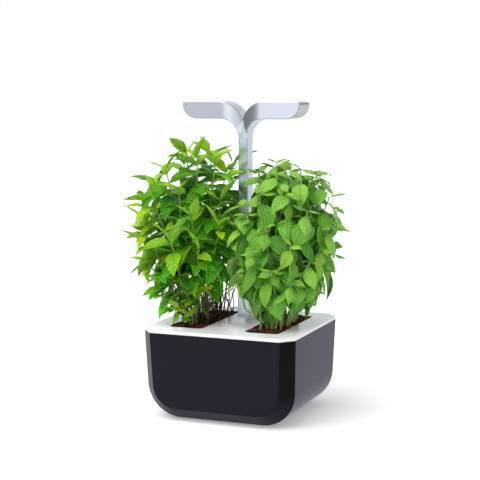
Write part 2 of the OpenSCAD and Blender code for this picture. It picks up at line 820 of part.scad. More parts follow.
// The screws that join the two shells: their axes point forward from depth y
module at_lamp_screws(y) {
    for (x = [-1, 1], p = lamp_bosses) translate([x * p[0], y, p[1]]) rotate([90, 0, 0]) children();
}

// Both halves of the shell, before they are parted
module lamp_shell() {
    difference() {
        union() {
            difference() {
                lamp_form(0, 0);
                lamp_form(lamp_wall, lamp_wall);
            }
            // posts that hold the LED boards down from the arms' top
            intersection() {
                lamp_form(0.2, 0.2);
                at_arms() for (x = [board_x0 + 4, board_x1 - 8])
                    translate([x, 0, 0]) post(post_r, led_board_z + board_t + touch, lamp_top);
            }
            // bosses of the arm screws
            intersection() {
                lamp_form(0.2, 0.2);
                at_lamp_screws(mast_y + arm_d / 2) cylinder(r = lamp_boss_r, h = arm_d);
            }
        }
        lamp_openings();
    }
}

// The front half keeps the blind end of each screw hole
module lamp_front_shell() {
    color(silver) difference() {
        intersection() {
            lamp_shell();
            span_box([-lamp_w, lamp_w], [-tank_d, mast_y - touch / 2], [0, 2 * lamp_top]);
        }
        at_lamp_screws(mast_y + 1) cylinder(r = lamp_screw_r, h = 9);
    }
}

// The rear half has the clearance holes and the heads' recesses
module lamp_rear_shell() {
    rear_y = mast_y + arm_d / 2;
    color(silver) difference() {
        intersection() {
            lamp_shell();
            span_box([-lamp_w, lamp_w], [mast_y + touch / 2, tank_d], [0, 2 * lamp_top]);
        }
        at_lamp_screws(rear_y) {
            cylinder(r = lamp_screw_r + 0.2, h = arm_d);
            translate([0, 0, -1]) cylinder(r = lamp_screw_head_r + 0.2, h = lamp_screw_head_h + 4.6);
        }
    }
}

module lamp_screws() {
    color(steel) at_lamp_screws(mast_y + arm_d / 2 - 3.5) {
        cylinder(r = lamp_screw_head_r, h = lamp_screw_head_h);
        cylinder(r = lamp_screw_r - touch, h = arm_d / 2 + 4);
    }
}

// Grey end of an arm, between the two shells, under the top wall and round the tip
module end_cap() {
    at_mast() intersection() {
        translate([0, -mast_y, 0]) lamp_skin(skin_recess, skin_recess + cap_t, arm_d);
        span_box([cap_x + snug, lamp_w], [touch - cap_half, cap_half - touch],
            [arm_z0 - 1, lamp_top - lamp_wall - 0.8]);
    }
}

module end_cap_left() { color(grey_mesh) on_side(-1) end_cap(); }
module end_cap_right() { color(grey_mesh) end_cap(); }

// Frosted cover of the window, with a lip that holds it behind the wall
module diffuser() {
    color(frosted) at_mast() {
        span_box([lens_x0 + snug, lens_x1 - snug], [-lens_d / 2, lens_d / 2],
            [arm_z0 + skin_recess, arm_z0 + skin_recess + lens_t]);
    }
}

module diffuser_left() { on_side(-1) diffuser(); }
module diffuser_right() { diffuser(); }

module led_board() {
    color(white_plastic) at_mast()
        span_box([board_x0, board_x1], [-led_board_d / 2, led_board_d / 2],
            [led_board_z, led_board_z + board_t]);
}

module led_board_left() { on_side(-1) led_board(); }
module led_board_right() { led_board(); }

// Two rows of LEDs under a board
module leds() {
    color(led_yellow) at_mast()
        for (i = [0:floor((board_x1 - board_x0 - led_edge - led_size[0]) / led_pitch)], y = [-1, 1])
            translate([board_x0 + led_edge + led_pitch * i, y * led_board_d / 4, led_board_z - touch])
                translate([0, 0, -led_size[2] / 2]) cube(led_size, center = true);
}

module leds_left() { on_side(-1) leds(); }
module leds_right() { leds(); }

module mast_tube() {
    color(steel) at_mast() difference() {
        rounded_plate(tube_w, tube_d, 0.7, tube_z0, tube_z1);
        rounded_plate(tube_w - 2 * tube_wall, tube_d - 2 * tube_wall, 0.3, tube_z0 - 1, tube_z1 + 1);
    }
}

module at_pins() {
    at_mast() for (y = [-1, 1]) translate([0, y * pin_pitch / 2, 0]) children();
}

module lamp_plug() {
    color(black_plastic) at_mast() translate([-plug_size[0] / 2, -plug_size[1] / 2, tube_z0]) cube(plug_size);
    color(brass) at_pins() post(pin_r, tube_z0 - pin_l, tube_z0 + eps);
}

module lamp_jack() {
    z0 = housing_z0 + housing_wall + touch;
    color(black_plastic) difference() {
        at_mast() span_box([-jack_size[0] / 2, jack_size[0] / 2], [-jack_size[1] / 2, jack_size[1] / 2],
            [z0, tube_z0 - jack_gap]);
        at_pins() post(pin_r + 0.2, tube_z0 - pin_l - 0.5, tube_z0);
    }
}

// Wire from the plug up the mast, and along each arm to its board
module lamp_lead() {
    fork_z = notch_z - 6;
    color(wire_red) at_mast() {
        post(lead_r, tube_z0 + plug_size[2] + touch, fork_z);
        translate([0, 0, fork_z]) sphere(lead_r + 0.3);
        for (x = [-1, 1]) wire([0, fork_z], [x * (board_x0 - 0.6), led_board_z + board_t / 2], lead_r);
    }
}

water_tank();
feet();
lid();
fill_hatch();
hatch_pin();
float_guide();
level_float();
mint_basket();
mint_block();
mint_wicks();
mint_stems();
mint_foliage();
basil_basket();
basil_block();
basil_wicks();
basil_stems();
basil_foliage();
control_housing();
control_board();
dc_inlet();
power_switch();
power_button();
status_light_pipe();
housing_screws();
mast_tube();
lamp_plug();
lamp_jack();
lamp_lead();
lamp_front_shell();
lamp_rear_shell();
lamp_screws();
end_cap_left();
end_cap_right();
led_board_left();
led_board_right();
leds_left();
leds_right();
diffuser_left();
diffuser_right();
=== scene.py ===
"""Looks of a countertop hydroponic garden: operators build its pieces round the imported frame."""

import json
import math
import random
from typing import NamedTuple

import bmesh
import bpy
import numpy as np
from mathutils import Matrix, Vector

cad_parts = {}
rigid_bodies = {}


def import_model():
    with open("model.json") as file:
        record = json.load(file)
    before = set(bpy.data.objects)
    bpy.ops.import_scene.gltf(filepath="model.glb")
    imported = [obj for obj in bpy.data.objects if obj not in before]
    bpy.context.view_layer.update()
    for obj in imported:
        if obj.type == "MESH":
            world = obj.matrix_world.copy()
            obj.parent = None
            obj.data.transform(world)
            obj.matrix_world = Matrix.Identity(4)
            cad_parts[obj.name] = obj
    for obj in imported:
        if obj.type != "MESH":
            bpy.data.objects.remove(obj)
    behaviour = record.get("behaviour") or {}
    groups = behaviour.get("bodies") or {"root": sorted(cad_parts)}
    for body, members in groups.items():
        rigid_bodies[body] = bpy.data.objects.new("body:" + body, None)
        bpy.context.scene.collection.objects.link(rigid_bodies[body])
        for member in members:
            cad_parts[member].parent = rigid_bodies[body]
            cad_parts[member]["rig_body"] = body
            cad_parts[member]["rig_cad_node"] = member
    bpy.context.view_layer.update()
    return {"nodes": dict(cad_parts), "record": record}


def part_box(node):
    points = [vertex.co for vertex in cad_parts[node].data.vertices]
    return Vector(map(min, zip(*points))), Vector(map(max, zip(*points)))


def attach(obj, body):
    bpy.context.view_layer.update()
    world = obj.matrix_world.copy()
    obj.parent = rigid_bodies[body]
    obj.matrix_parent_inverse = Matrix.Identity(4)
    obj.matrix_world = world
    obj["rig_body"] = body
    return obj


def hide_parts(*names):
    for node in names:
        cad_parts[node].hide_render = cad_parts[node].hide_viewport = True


bl_info = {
    "name": "Countertop Garden", "version": (1, 0, 0), "blender": (4, 5, 0),
    "location": "View3D > Sidebar > Garden",
    "description": "Builds the tank, lid, lamp and plants of a countertop garden round its frame",
    "category": "Add Mesh",
}

MM = 0.001
UP = Vector((0, 0, 1))

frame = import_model()
NODES = frame["nodes"]

# Places on the frame, in mm
FOOT_AT = 42  # a foot's middle from the tank's, in X and in Y
SLOT_AT = 46.5  # a slot's middle, in X
LID_UNDER, LID_TOP, PEDESTAL_TOP = 102.5, 106, 112
MAST_AT = 12  # the mast's middle, in Y
LAMP_TOP = 364
LAMP_SCREWS = ((24, 353.5), (59, 357.5))  # X and Z, on both sides


# ---- Colour and shader nodes ----


def linear(colour):
    """An sRGB hex colour as linear RGBA."""
    channels = [int(colour[i : i + 2], 16) / 255 for i in (1, 3, 5)]
    return [c / 12.92 if c <= 0.04045 else ((c + 0.055) / 1.055) ** 2.4 for c in channels] + [1.0]


def add_node(tree, kind, settings=None, links=None, output=0):
    """Adds one shader node and returns one of its outputs, by name or number.

    Settings go by a socket's name or number, or by a property's name. Links go by a socket's.
    """
    made = tree.nodes.new("ShaderNode" + kind)
    for name, value in (settings or {}).items():
        if isinstance(name, int) or name in made.inputs:
            made.inputs[name].default_value = value
        else:
            setattr(made, name, value)
    for name, source in (links or {}).items():
        tree.links.new(source, made.inputs[name])
    return made.outputs[output]


def new_material(name, roughness, metallic=0.0, **sockets):
    """A Principled material. Returns it, its tree and the coordinate that its patterns follow."""
    material = bpy.data.materials.new(name)
    material.use_nodes = True
    tree = material.node_tree
    sockets.update(roughness=roughness, metallic=metallic)
    for socket, value in sockets.items():
        title = socket.replace("_", " ").title().replace("Ior", "IOR")
        tree.nodes["Principled BSDF"].inputs[title].default_value = value
    return material, tree, add_node(tree, "TexCoord", output="Object")


def dress(material, colour, relief=None):
    """Links a colour and a relief to a material's shader. Returns the material."""
    tree = material.node_tree
    shader = tree.nodes["Principled BSDF"]
    tree.links.new(colour, shader.inputs["Base Color"])
    if relief is not None:
        tree.links.new(relief, shader.inputs["Normal"])
    return material


# ---- Materials ----


def moulded(name, colour, shade, roughness, grain_mm, grain_depth_mm, drift_mm=35, **sockets):
    """A moulded or rolled solid: its shade drifts slightly, and its tool left a fine grain."""
    material, tree, place = new_material(name, roughness, **sockets)
    drift = add_node(
        tree, "TexNoise", {"Scale": 1 / (drift_mm * MM), "Detail": 1.0}, {"Vector": place}
    )
    drift = add_node(tree, "MapRange", {"From Min": 0.35, "From Max": 0.65}, {"Value": drift})
    mixed = add_node(tree, "Mix", {"data_type": "RGBA", 6: colour, 7: shade}, {0: drift}, output=2)
    grain = add_node(
        tree, "TexNoise", {"Scale": 1 / (grain_mm * MM), "Detail": 2.0}, {"Vector": place}
    )
    bump = add_node(
        tree, "Bump", {"Strength": 1.0, "Distance": grain_depth_mm * MM}, {"Height": grain}
    )
    return dress(material, mixed, bump)


def lamp_lacquer(finish):
    """Silver lacquer sprayed on ABS: metal flake in a satin coat, which mirrors softly."""
    material, tree, place = new_material("silver_lacquer_satin", 0.24, metallic=0.92)
    # flake drawn at 0.4 mm, coarser than the real 0.05 mm, so that it shows
    flake = add_node(tree, "TexNoise", {"Scale": 1 / (0.4 * MM), "Detail": 2.0}, {"Vector": place})
    colour = add_node(
        tree, "Mix", {"data_type": "RGBA", 6: list(finish.lamp_colour), 7: linear("#e2e5ea")},
        {0: flake}, output=2,
    )
    bump = add_node(tree, "Bump", {"Strength": 0.15, "Distance": 0.01 * MM}, {"Height": flake})
    return dress(material, colour, bump)


def pitted_cap():
    """Grey polycarbonate of the end caps, with a texture of fine pits 2 mm apart, and painted shade
    along the top.
    """
    material, tree, place = new_material("grey_pc_textured", 0.5, ior=1.58)
    cells = add_node(
        tree, "TexVoronoi", {"Scale": 1 / (2.0 * MM), "Randomness": 0.5}, {"Vector": place}
    )
    pits = add_node(tree, "MapRange", {"From Min": 0.1, "From Max": 0.6}, {"Value": cells})
    light = add_node(
        tree, "Mix", {"data_type": "RGBA", 6: linear("#e4e6e9"), 7: linear("#c6c9cd")}, {0: pits},
        output=2,
    )
    # painted shade: the cap is darker along its top, where the shell's top wall shades it
    height = add_node(tree, "SeparateXYZ", links={"Vector": place}, output="Z")
    shaded_from, shaded_to = (LAMP_TOP - 5) * MM, (LAMP_TOP - 2.5) * MM
    top = add_node(
        tree, "MapRange", {"From Min": shaded_from, "From Max": shaded_to}, {"Value": height}
    )
    colour = add_node(
        tree, "Mix", {"data_type": "RGBA", 7: linear("#85888b")}, {0: top, 6: light}, output=2
    )
    bump = add_node(tree, "Bump", {"Strength": 0.5, "Distance": 0.06 * MM}, {"Height": pits})
    return dress(material, colour, bump)


def brushed_steel():
    """Stainless steel, brushed along Z: fine bright streaks."""
    material, tree, place = new_material("stainless_brushed", 0.32, metallic=1.0)
    drawn = add_node(tree, "Mapping", {"Scale": (1, 1, 0.05)}, {"Vector": place})
    streaks = add_node(
        tree, "TexNoise", {"Scale": 1 / (0.5 * MM), "Detail": 3.0}, {"Vector": drawn}
    )
    colour = add_node(
        tree, "Mix", {"data_type": "RGBA", 6: linear("#8d9094"), 7: linear("#c8cace")},
        {0: streaks}, output=2,
    )
    return dress(material, colour)


def grow_medium(finish):
    """Coco fibre and peat, pressed: dark brown crumbs with red-brown fibre between them."""
    material, tree, place = new_material("coco_peat", 0.95, ior=1.4)
    crumbs = add_node(tree, "TexNoise", {"Scale": 1 / (3.0 * MM), "Detail": 6.0}, {"Vector": place})
    crumbs = add_node(tree, "MapRange", {"From Min": 0.38, "From Max": 0.62}, {"Value": crumbs})
    dark = add_node(
        tree, "Mix", {"data_type": "RGBA", 6: linear("#0d0908"), 7: list(finish.soil_colour)},
        {0: crumbs}, output=2,
    )
    fibres = add_node(tree, "TexNoise", {"Scale": 1 / (1.1 * MM), "Detail": 8.0}, {"Vector": place})
    fibres = add_node(tree, "MapRange", {"From Min": 0.56, "From Max": 0.66}, {"Value": fibres})
    colour = add_node(
        tree, "Mix", {"data_type": "RGBA", 7: linear("#5c2f24")}, {0: fibres, 6: dark}, output=2
    )
    bump = add_node(tree, "Bump", {"Strength": 1.0, "Distance": 0.8 * MM}, {"Height": crumbs})
    return dress(material, colour, bump)


def coco_fibre():
    """Loose coco fibre and bark on the block: dry and red-brown, each piece a bit different."""
    material, tree, place = new_material("coco_fibre_loose", 0.85, ior=1.4)
    tone = add_node(tree, "TexNoise", {"Scale": 1 / (6 * MM), "Detail": 4.0}, {"Vector": place})
    tone = add_node(tree, "MapRange", {"From Min": 0.35, "From Max": 0.65}, {"Value": tone})
    colour = add_node(
        tree, "Mix", {"data_type": "RGBA", 6: linear("#24120d"), 7: linear("#8d4a3a")}, {0: tone},
        output=2,
    )
    return dress(material, colour)


def leaf_skin(name, colours, veins_a_side, slant, side_vein, roughness):
    """A living leaf: waxy, brighter while young, paler along its veins and on its underside.

    colours are those of a young, a grown and a deep green leaf, of the veins and of the underside.
    The side veins leave the rib at a slant, and side_vein is how clearly they show. They follow
    the leaf's own UV map, and its attributes age, tone and under tell leaves apart.
    """
    young, grown, deep, vein, under = (linear(colour) for colour in colours)
    material, tree, place = new_material(
        name, roughness, ior=1.48, subsurface_weight=0.3, subsurface_scale=0.6 * MM,
        subsurface_radius=(0.5, 0.8, 0.15),
    )
    blade = add_node(tree, "UVMap", {"uv_map": "UVMap"})
    across, along, _ = add_node(tree, "SeparateXYZ", links={"Vector": blade}).node.outputs
    from_rib = add_node(tree, "Math", {"operation": "SUBTRACT", 1: 0.5}, {0: across})
    from_rib = add_node(tree, "Math", {"operation": "ABSOLUTE"}, {0: from_rib})
    rib = add_node(
        tree, "MapRange", {"From Min": 0.015, "From Max": 0.05, "To Min": 1.0, "To Max": 0.0},
        {"Value": from_rib},
    )
    slanted = add_node(
        tree, "Math", {"operation": "MULTIPLY_ADD", 1: -slant}, {0: from_rib, 2: along}
    )
    wave = add_node(tree, "Math", {"operation": "MULTIPLY", 1: veins_a_side}, {0: slanted})
    wave = add_node(tree, "Math", {"operation": "PINGPONG", 1: 0.5}, {0: wave})
    side_veins = add_node(
        tree, "MapRange", {"From Min": 0.02, "From Max": 0.2, "To Min": side_vein, "To Max": 0.0},
        {"Value": wave},
    )
    veins = add_node(tree, "Math", {"operation": "MAXIMUM"}, {0: rib, 1: side_veins})
    tone, age, below = (
        add_node(tree, "Attribute", {"attribute_name": each}, output="Fac")
        for each in ("tone", "age", "under")
    )
    skin = add_node(tree, "Mix", {"data_type": "RGBA", 6: grown, 7: deep}, {0: tone}, output=2)
    skin = add_node(tree, "Mix", {"data_type": "RGBA", 6: young}, {0: age, 7: skin}, output=2)
    share = add_node(tree, "Math", {"operation": "MULTIPLY", 1: 0.5}, {0: veins})
    skin = add_node(tree, "Mix", {"data_type": "RGBA", 7: vein}, {0: share, 6: skin}, output=2)
    share = add_node(tree, "Math", {"operation": "MULTIPLY", 1: 0.65}, {0: below})
    skin = add_node(tree, "Mix", {"data_type": "RGBA", 7: under}, {0: share, 6: skin}, output=2)
    # the skin puckers up between the veins
    pucker = add_node(tree, "TexNoise", {"Scale": 1 / (2.2 * MM), "Detail": 1.0}, {"Vector": place})
    height = add_node(tree, "Math", {"operation": "SUBTRACT"}, {0: pucker, 1: veins})
    bump = add_node(tree, "Bump", {"Strength": 1.0, "Distance": 1.7 * MM}, {"Height": height})
    return dress(material, skin, bump)


def stem_skin(name, foot, top, foot_z, top_z, soft):
    """A stem: woody and dark up to foot_z, green from top_z on, and soft where wood is 0."""
    material, tree, place = new_material(name, 0.5, ior=1.4)
    height = add_node(tree, "SeparateXYZ", links={"Vector": place}, output="Z")
    patches = add_node(tree, "TexNoise", {"Scale": 1 / (12 * MM)}, {"Vector": place})
    uneven = add_node(tree, "Math", {"operation": "MULTIPLY_ADD", 1: 0.05}, {0: patches, 2: height})
    ripe = add_node(tree, "MapRange", {"From Min": foot_z, "From Max": top_z}, {"Value": uneven})
    colour = add_node(
        tree, "Mix", {"data_type": "RGBA", 6: linear(foot), 7: linear(top)}, {0: ripe}, output=2
    )
    wood = add_node(tree, "Attribute", {"attribute_name": "wood"}, output="Fac")
    colour = add_node(
        tree, "Mix", {"data_type": "RGBA", 6: linear(soft)}, {0: wood, 7: colour}, output=2
    )
    drawn = add_node(tree, "Mapping", {"Scale": (1, 1, 0.1)}, {"Vector": place})
    ridges = add_node(tree, "TexNoise", {"Scale": 1 / (0.6 * MM)}, {"Vector": drawn})
    bump = add_node(tree, "Bump", {"Strength": 0.5, "Distance": 0.2 * MM}, {"Height": ridges})
    return dress(material, colour, bump)


def make_materials(finish):
    """Every finish of the garden, by the record's slot, and one more for the loose fibre."""
    made = {
        # ABS, moulded in a satin tool: near black, with a bluish sheen where it is seen at a slant
        "tank_black": moulded(
            "black_abs_satin", list(finish.tank_colour), linear("#101113"), 0.3, 0.35, 0.005,
            drift_mm=60, ior=1.47, specular_tint=linear("#c6cfe2"),
        ),
        # ABS, moulded in a polished tool: white, with the long shallow waves of a moulded plate
        "lid_white": moulded(
            "white_abs_gloss", list(finish.lid_colour), linear("#f8f8f9"), 0.2, 9, 0.006,
            drift_mm=70, ior=1.5, specular_ior_level=0.35,
        ),
        "lamp_silver": lamp_lacquer(finish),
        "cap_grey": pitted_cap(),
        "steel": brushed_steel(),
        "soil": grow_medium(finish),
        "soil_fibre": coco_fibre(),
        # mint: vivid, yellow at the tips, with many deep veins
        "mint_leaf": leaf_skin(
            "mint_leaf_living", ("#c2f208", "#5cd61a", "#269014", "#b4e850", "#8ccc50"),
            veins_a_side=7, slant=0.55, side_vein=0.6, roughness=0.27,
        ),
        # basil: a softer green, with few veins that hardly show
        "basil_leaf": leaf_skin(
            "basil_leaf_living", ("#9ad23c", "#7acc3a", "#429020", "#b4e284", "#a4d078"),
            veins_a_side=5, slant=0.9, side_vein=0.3, roughness=0.3,
        ),
        # mint turns brown and woody at its foot, while basil stays pale
        "mint_stem": stem_skin("mint_stem_woody", "#5a3526", "#96bc4c", 0.14, 0.21, "#9fae62"),
        "basil_stem": stem_skin("basil_stem_soft", "#a3b074", "#9ccb6c", 0.11, 0.2, "#a9b878"),
    }
    # name, two shades, roughness, grain and its depth in mm, IOR and metallic
    plain = {
        # thermoplastic rubber: matt, with a moulded grip texture
        "foot_rubber": ("black_tpe", "#1b1b1c", "#232324", 0.8, 0.6, 0.05, 1.5, 0),
        # ABS parts that the lid hides, from an unpolished tool
        "inner_white": ("white_abs_matt", "#e4e5e6", "#d9dadc", 0.5, 0.5, 0.02, 1.5, 0),
        # polypropylene: slightly waxy
        "inner_black": ("black_pp", "#1d1e20", "#26272a", 0.45, 0.8, 0.03, 1.49, 0),
        "float_orange": ("orange_pp", "#d8541f", "#c7481a", 0.4, 0.6, 0.02, 1.49, 0),
        # polycarbonate with a diffusing filler
        "lens_frosted": ("frosted_pc", "#f2f2ee", "#e9e9e6", 0.6, 0.3, 0.02, 1.58, 0),
        # fibreglass boards under white and green solder mask
        "board_white": ("fr4_white_mask", "#e9e9ea", "#dcdcdf", 0.4, 0.4, 0.02, 1.5, 0),
        "board_green": ("fr4_green_mask", "#0d5a2b", "#0a4a22", 0.35, 0.4, 0.02, 1.5, 0),
        # phosphor under clear silicone
        "led": ("led_phosphor", "#f4dc6a", "#eccf4e", 0.25, 0.4, 0.02, 1.41, 0),
        # acrylic rod
        "light_pipe": ("acrylic_clear", "#dfe8e2", "#d3ddd6", 0.1, 0.6, 0.01, 1.49, 0),
        "wire_red": ("pvc_red", "#b01e1e", "#9a1818", 0.45, 0.5, 0.02, 1.53, 0),
        # ABS with a dull chrome-look paint
        "button_grey": ("grey_abs_painted", "#9da1a6", "#8f9398", 0.35, 0.5, 0.01, 1.5, 0.4),
        # pressed polyester felt, fibres 0.4 mm
        "felt": ("polyester_felt", "#d9d2be", "#c4bca6", 0.95, 0.4, 0.2, 1.5, 0),
    }
    for slot, (name, colour, shade, roughness, grain, depth, ior, metallic) in plain.items():
        made[slot] = moulded(
            name, linear(colour), linear(shade), roughness, grain, depth, ior=ior, metallic=metallic
        )
    return made


FINISHES = {}


def finish_of(slot):
    """The material of a slot. All of them are made when the first is asked for."""
    if not FINISHES:
        FINISHES.update(make_materials(bpy.context.scene.garden_finish))
    return FINISHES[slot]


# ---- Modelling ----


def only(*objects):
    """Selects just these objects, the first one active."""
    bpy.ops.object.select_all(action="DESELECT")
    for each in objects:
        each.select_set(True)
    bpy.context.view_layer.objects.active = objects[0]


def edit(piece):
    """Opens just this piece in edit mode, all of it selected."""
    only(piece)
    bpy.ops.object.mode_set(mode="EDIT")
    bpy.ops.mesh.select_all(action="SELECT")


def named(name):
    """Names the active object and its mesh."""
    piece = bpy.context.object
    piece.name = piece.data.name = name
    return piece


def settle(piece):
    """Applies a piece's place, turn and size to its mesh, and makes its faces agree."""
    only(piece)
    bpy.ops.object.transform_apply(location=True, rotation=True, scale=True)
    edit(piece)
    bpy.ops.mesh.normals_make_consistent(inside=False)
    bpy.ops.object.mode_set(mode="OBJECT")
    return piece


def smooth(piece, degrees):
    only(piece)
    bpy.ops.object.shade_smooth_by_angle(angle=math.radians(degrees), keep_sharp_edges=False)


def smooth_flats(piece, degrees):
    """Smooth shading in which large flat faces stay flat up to their rounded edges."""
    smooth(piece, degrees)
    apply_modifier(piece, "WEIGHTED_NORMAL", keep_sharp=True, weight=100)


def apply_modifier(piece, kind, **settings):
    only(piece)
    modifier = piece.modifiers.new(kind.lower(), kind)
    for name, value in settings.items():
        setattr(modifier, name, value)
    bpy.ops.object.modifier_apply(modifier=modifier.name)


def finish_piece(piece, slot, body, *replaced, finish=None):
    """Gives a piece its material, the body it rides on and the CAD nodes it stands for."""
    piece.data.materials.clear()
    piece.data.materials.append(finish_of(finish or slot))
    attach(piece, body)
    if replaced:
        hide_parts(*replaced)


def merged_copy(node, name, merge_mm=0.002):
    """A copy of a CAD node whose loose triangles are merged back into whole faces."""
    source = NODES[node]
    piece = source.copy()
    piece.data = source.data.copy()
    piece.name = piece.data.name = name
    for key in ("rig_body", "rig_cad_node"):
        if key in piece:
            del piece[key]
    piece.parent = None
    piece.matrix_world = Matrix.Identity(4)
    bpy.context.scene.collection.objects.link(piece)
    only(piece)
    if piece.data.has_custom_normals:
        bpy.ops.mesh.customdata_custom_splitnormals_clear()
    edit(piece)
    bpy.ops.mesh.remove_doubles(threshold=merge_mm * MM)
    bpy.ops.mesh.dissolve_limited(angle_limit=math.radians(0.3))
    bpy.ops.object.mode_set(mode="OBJECT")
    return piece


def select_where(piece, kind, wanted):
    """In edit mode, selects just those points, edges or faces of a piece that are wanted."""
    bpy.ops.mesh.select_mode(type=kind)
    bpy.ops.mesh.select_all(action="DESELECT")
    mesh = bmesh.from_edit_mesh(piece.data)
    for each in {"VERT": mesh.verts, "EDGE": mesh.edges, "FACE": mesh.faces}[kind]:
        each.select_set(bool(wanted(each)))
    mesh.select_flush_mode()
    bmesh.update_edit_mesh(piece.data)


def round_edges(piece, width_mm, wanted, least_angle=25):
    """Rounds the edges that are sharper than least_angle and wanted.

    wanted chooses an edge by its middle, in mm, and its faces.
    """
    least = math.radians(least_angle)

    def sharp(edge):
        middle = (edge.verts[0].co + edge.verts[1].co) / 2 / MM
        faces = edge.link_faces
        return len(faces) == 2 and edge.calc_face_angle(0) > least and wanted(middle, faces)

    edit(piece)
    select_where(piece, "EDGE", sharp)
    bpy.ops.mesh.bevel(offset=width_mm * MM, segments=3, profile=0.5, clamp_overlap=False)
    bpy.ops.object.mode_set(mode="OBJECT")


def join(pieces, name):
    """One mesh from many copies."""
    only(*pieces)
    bpy.ops.object.join()
    return named(name)


def copy_mesh(source):
    """A copy of an object with a mesh of its own, linked to the scene."""
    made = source.copy()
    made.data = source.data.copy()
    bpy.context.scene.collection.objects.link(made)
    return made


def points_of(mesh):
    flat = np.empty(len(mesh.vertices) * 3)
    mesh.vertices.foreach_get("co", flat)
    return flat.reshape(-1, 3)


def set_points(mesh, points):
    mesh.vertices.foreach_set("co", np.asarray(points, float).ravel())
    mesh.update()


def set_attribute(mesh, name, value):
    """A number for a material to read, the same all over a piece or one for each point."""
    layer = mesh.attributes.new(name, "FLOAT", "POINT")
    layer.data.foreach_set("value", np.broadcast_to(value, len(mesh.vertices)).astype(float))


# ---- Rigid pieces ----


def build_tank(body):
    """The tank with its moulded edges rounded, but for the recesses of its feet."""
    tank = merged_copy("water_tank", "tank_body")

    def outside(point, _faces):
        by_foot = all(abs(abs(value) - FOOT_AT) < 9 for value in point.xy)
        return not (by_foot and point.z < 5)

    round_edges(tank, body.tank_edge / MM, outside, least_angle=22)
    smooth_flats(tank, 30)
    return tank


def split_flat(piece, wanted, cuts_mm):
    """Cuts flat faces along planes of constant X, so that no face goes all round an opening.

    wanted chooses a face by its middle, in mm, and its normal.
    """
    edit(piece)
    for x in cuts_mm:
        select_where(
            piece, "FACE", lambda face: wanted(face.calc_center_median() / MM, face.normal)
        )
        bpy.ops.mesh.bisect(plane_co=(x * MM, 0, 0), plane_no=(1, 0, 0))
    bpy.ops.object.mode_set(mode="OBJECT")


def build_lid(body):
    """The lid with soft edges round its plate, slots and pedestal."""
    lid = merged_copy("lid", "lid_plate")

    def plate(middle, normal):
        return middle.z > LID_UNDER - 0.5 and abs(normal.z) > 0.99

    def upper(point, _faces):
        hinge = abs(point.x) < 20 and -20 < point.y < -10
        return point.z > LID_UNDER + 0.1 and not hinge

    split_flat(lid, plate, (-SLOT_AT, 0, SLOT_AT))
    round_edges(lid, body.lid_edge / MM, upper)
    smooth_flats(lid, 30)
    return lid


def build_hatch():
    """The hatch with a soft edge along its top, away from the hinge."""
    hatch = merged_copy("fill_hatch", "hatch_panel")
    round_edges(hatch, 0.5, lambda point, _faces: point.z > LID_TOP - 0.2 and point.y < -20)
    smooth_flats(hatch, 32)
    return hatch


def build_lamp_half(node, name, side, body):
    """One half of the lamp's shell, with a fine rounded outline. side is -1 in front."""
    half = merged_copy(node, name, merge_mm=0.12)

    def outline(point, faces):
        facing = sorted(side * face.normal.y for face in faces)
        rim = facing[1] > 0.7 and abs(facing[0]) < 0.3 and side * (point.y - MAST_AT) > 7.5
        # at the neck and round the screws the edges are too close for a bevel
        neck = 321 < point.z < 337.7
        by_screw = any(math.hypot(abs(point.x) - x, point.z - z) < 4 for x, z in LAMP_SCREWS)
        return rim and point.z > PEDESTAL_TOP + 0.5 and not neck and not by_screw

    round_edges(half, body.lamp_edge / MM, outline)
    smooth_flats(half, 32)
    return half


# ---- Grow blocks ----


def fibre_strand():
    """One curved fibre, 20 mm long and 1.2 mm thick."""
    step = 2.8 * MM
    bpy.ops.object.select_all(action="DESELECT")
    bpy.ops.mesh.primitive_circle_add(vertices=4, radius=0.6 * MM, fill_type="NGON")
    strand = named("fibre")
    edit(strand)
    for turn in (10, 18, 22, 12, -14):
        bpy.ops.mesh.extrude_region_move(
            TRANSFORM_OT_translate={"value": (0, 0, step), "orient_type": "LOCAL"}
        )
        bpy.ops.transform.rotate(
            value=math.radians(turn), orient_axis="X", center_override=(0, 4 * MM, 0)
        )
    bpy.ops.object.mode_set(mode="OBJECT")
    return settle(strand)


def bark_chip():
    """One flat chip, 7 mm long."""
    bpy.ops.object.select_all(action="DESELECT")
    bpy.ops.mesh.primitive_cube_add(size=1, scale=(2.4 * MM, 7 * MM, 0.9 * MM))
    chip = named("chip")
    edit(chip)
    bpy.ops.mesh.subdivide(number_cuts=1)
    bpy.ops.transform.vertex_random(offset=0.7 * MM, seed=5)
    bpy.ops.object.mode_set(mode="OBJECT")
    return settle(chip)


def build_block(node, name, seed):
    """A grow block: the CAD block's shape, with a crumbled top."""
    block = merged_copy(node, name)
    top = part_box(node)[1].z
    edit(block)
    select_where(
        block, "FACE", lambda face: face.normal.z > 0.9 and face.calc_center_median().z > top - MM
    )
    bpy.ops.mesh.inset(thickness=1.2 * MM)
    bpy.ops.mesh.quads_convert_to_tris()
    bpy.ops.mesh.subdivide(number_cuts=5)
    bpy.ops.mesh.select_less()
    bpy.ops.transform.vertex_random(offset=0.9 * MM, seed=seed)
    bpy.ops.object.mode_set(mode="OBJECT")
    return block


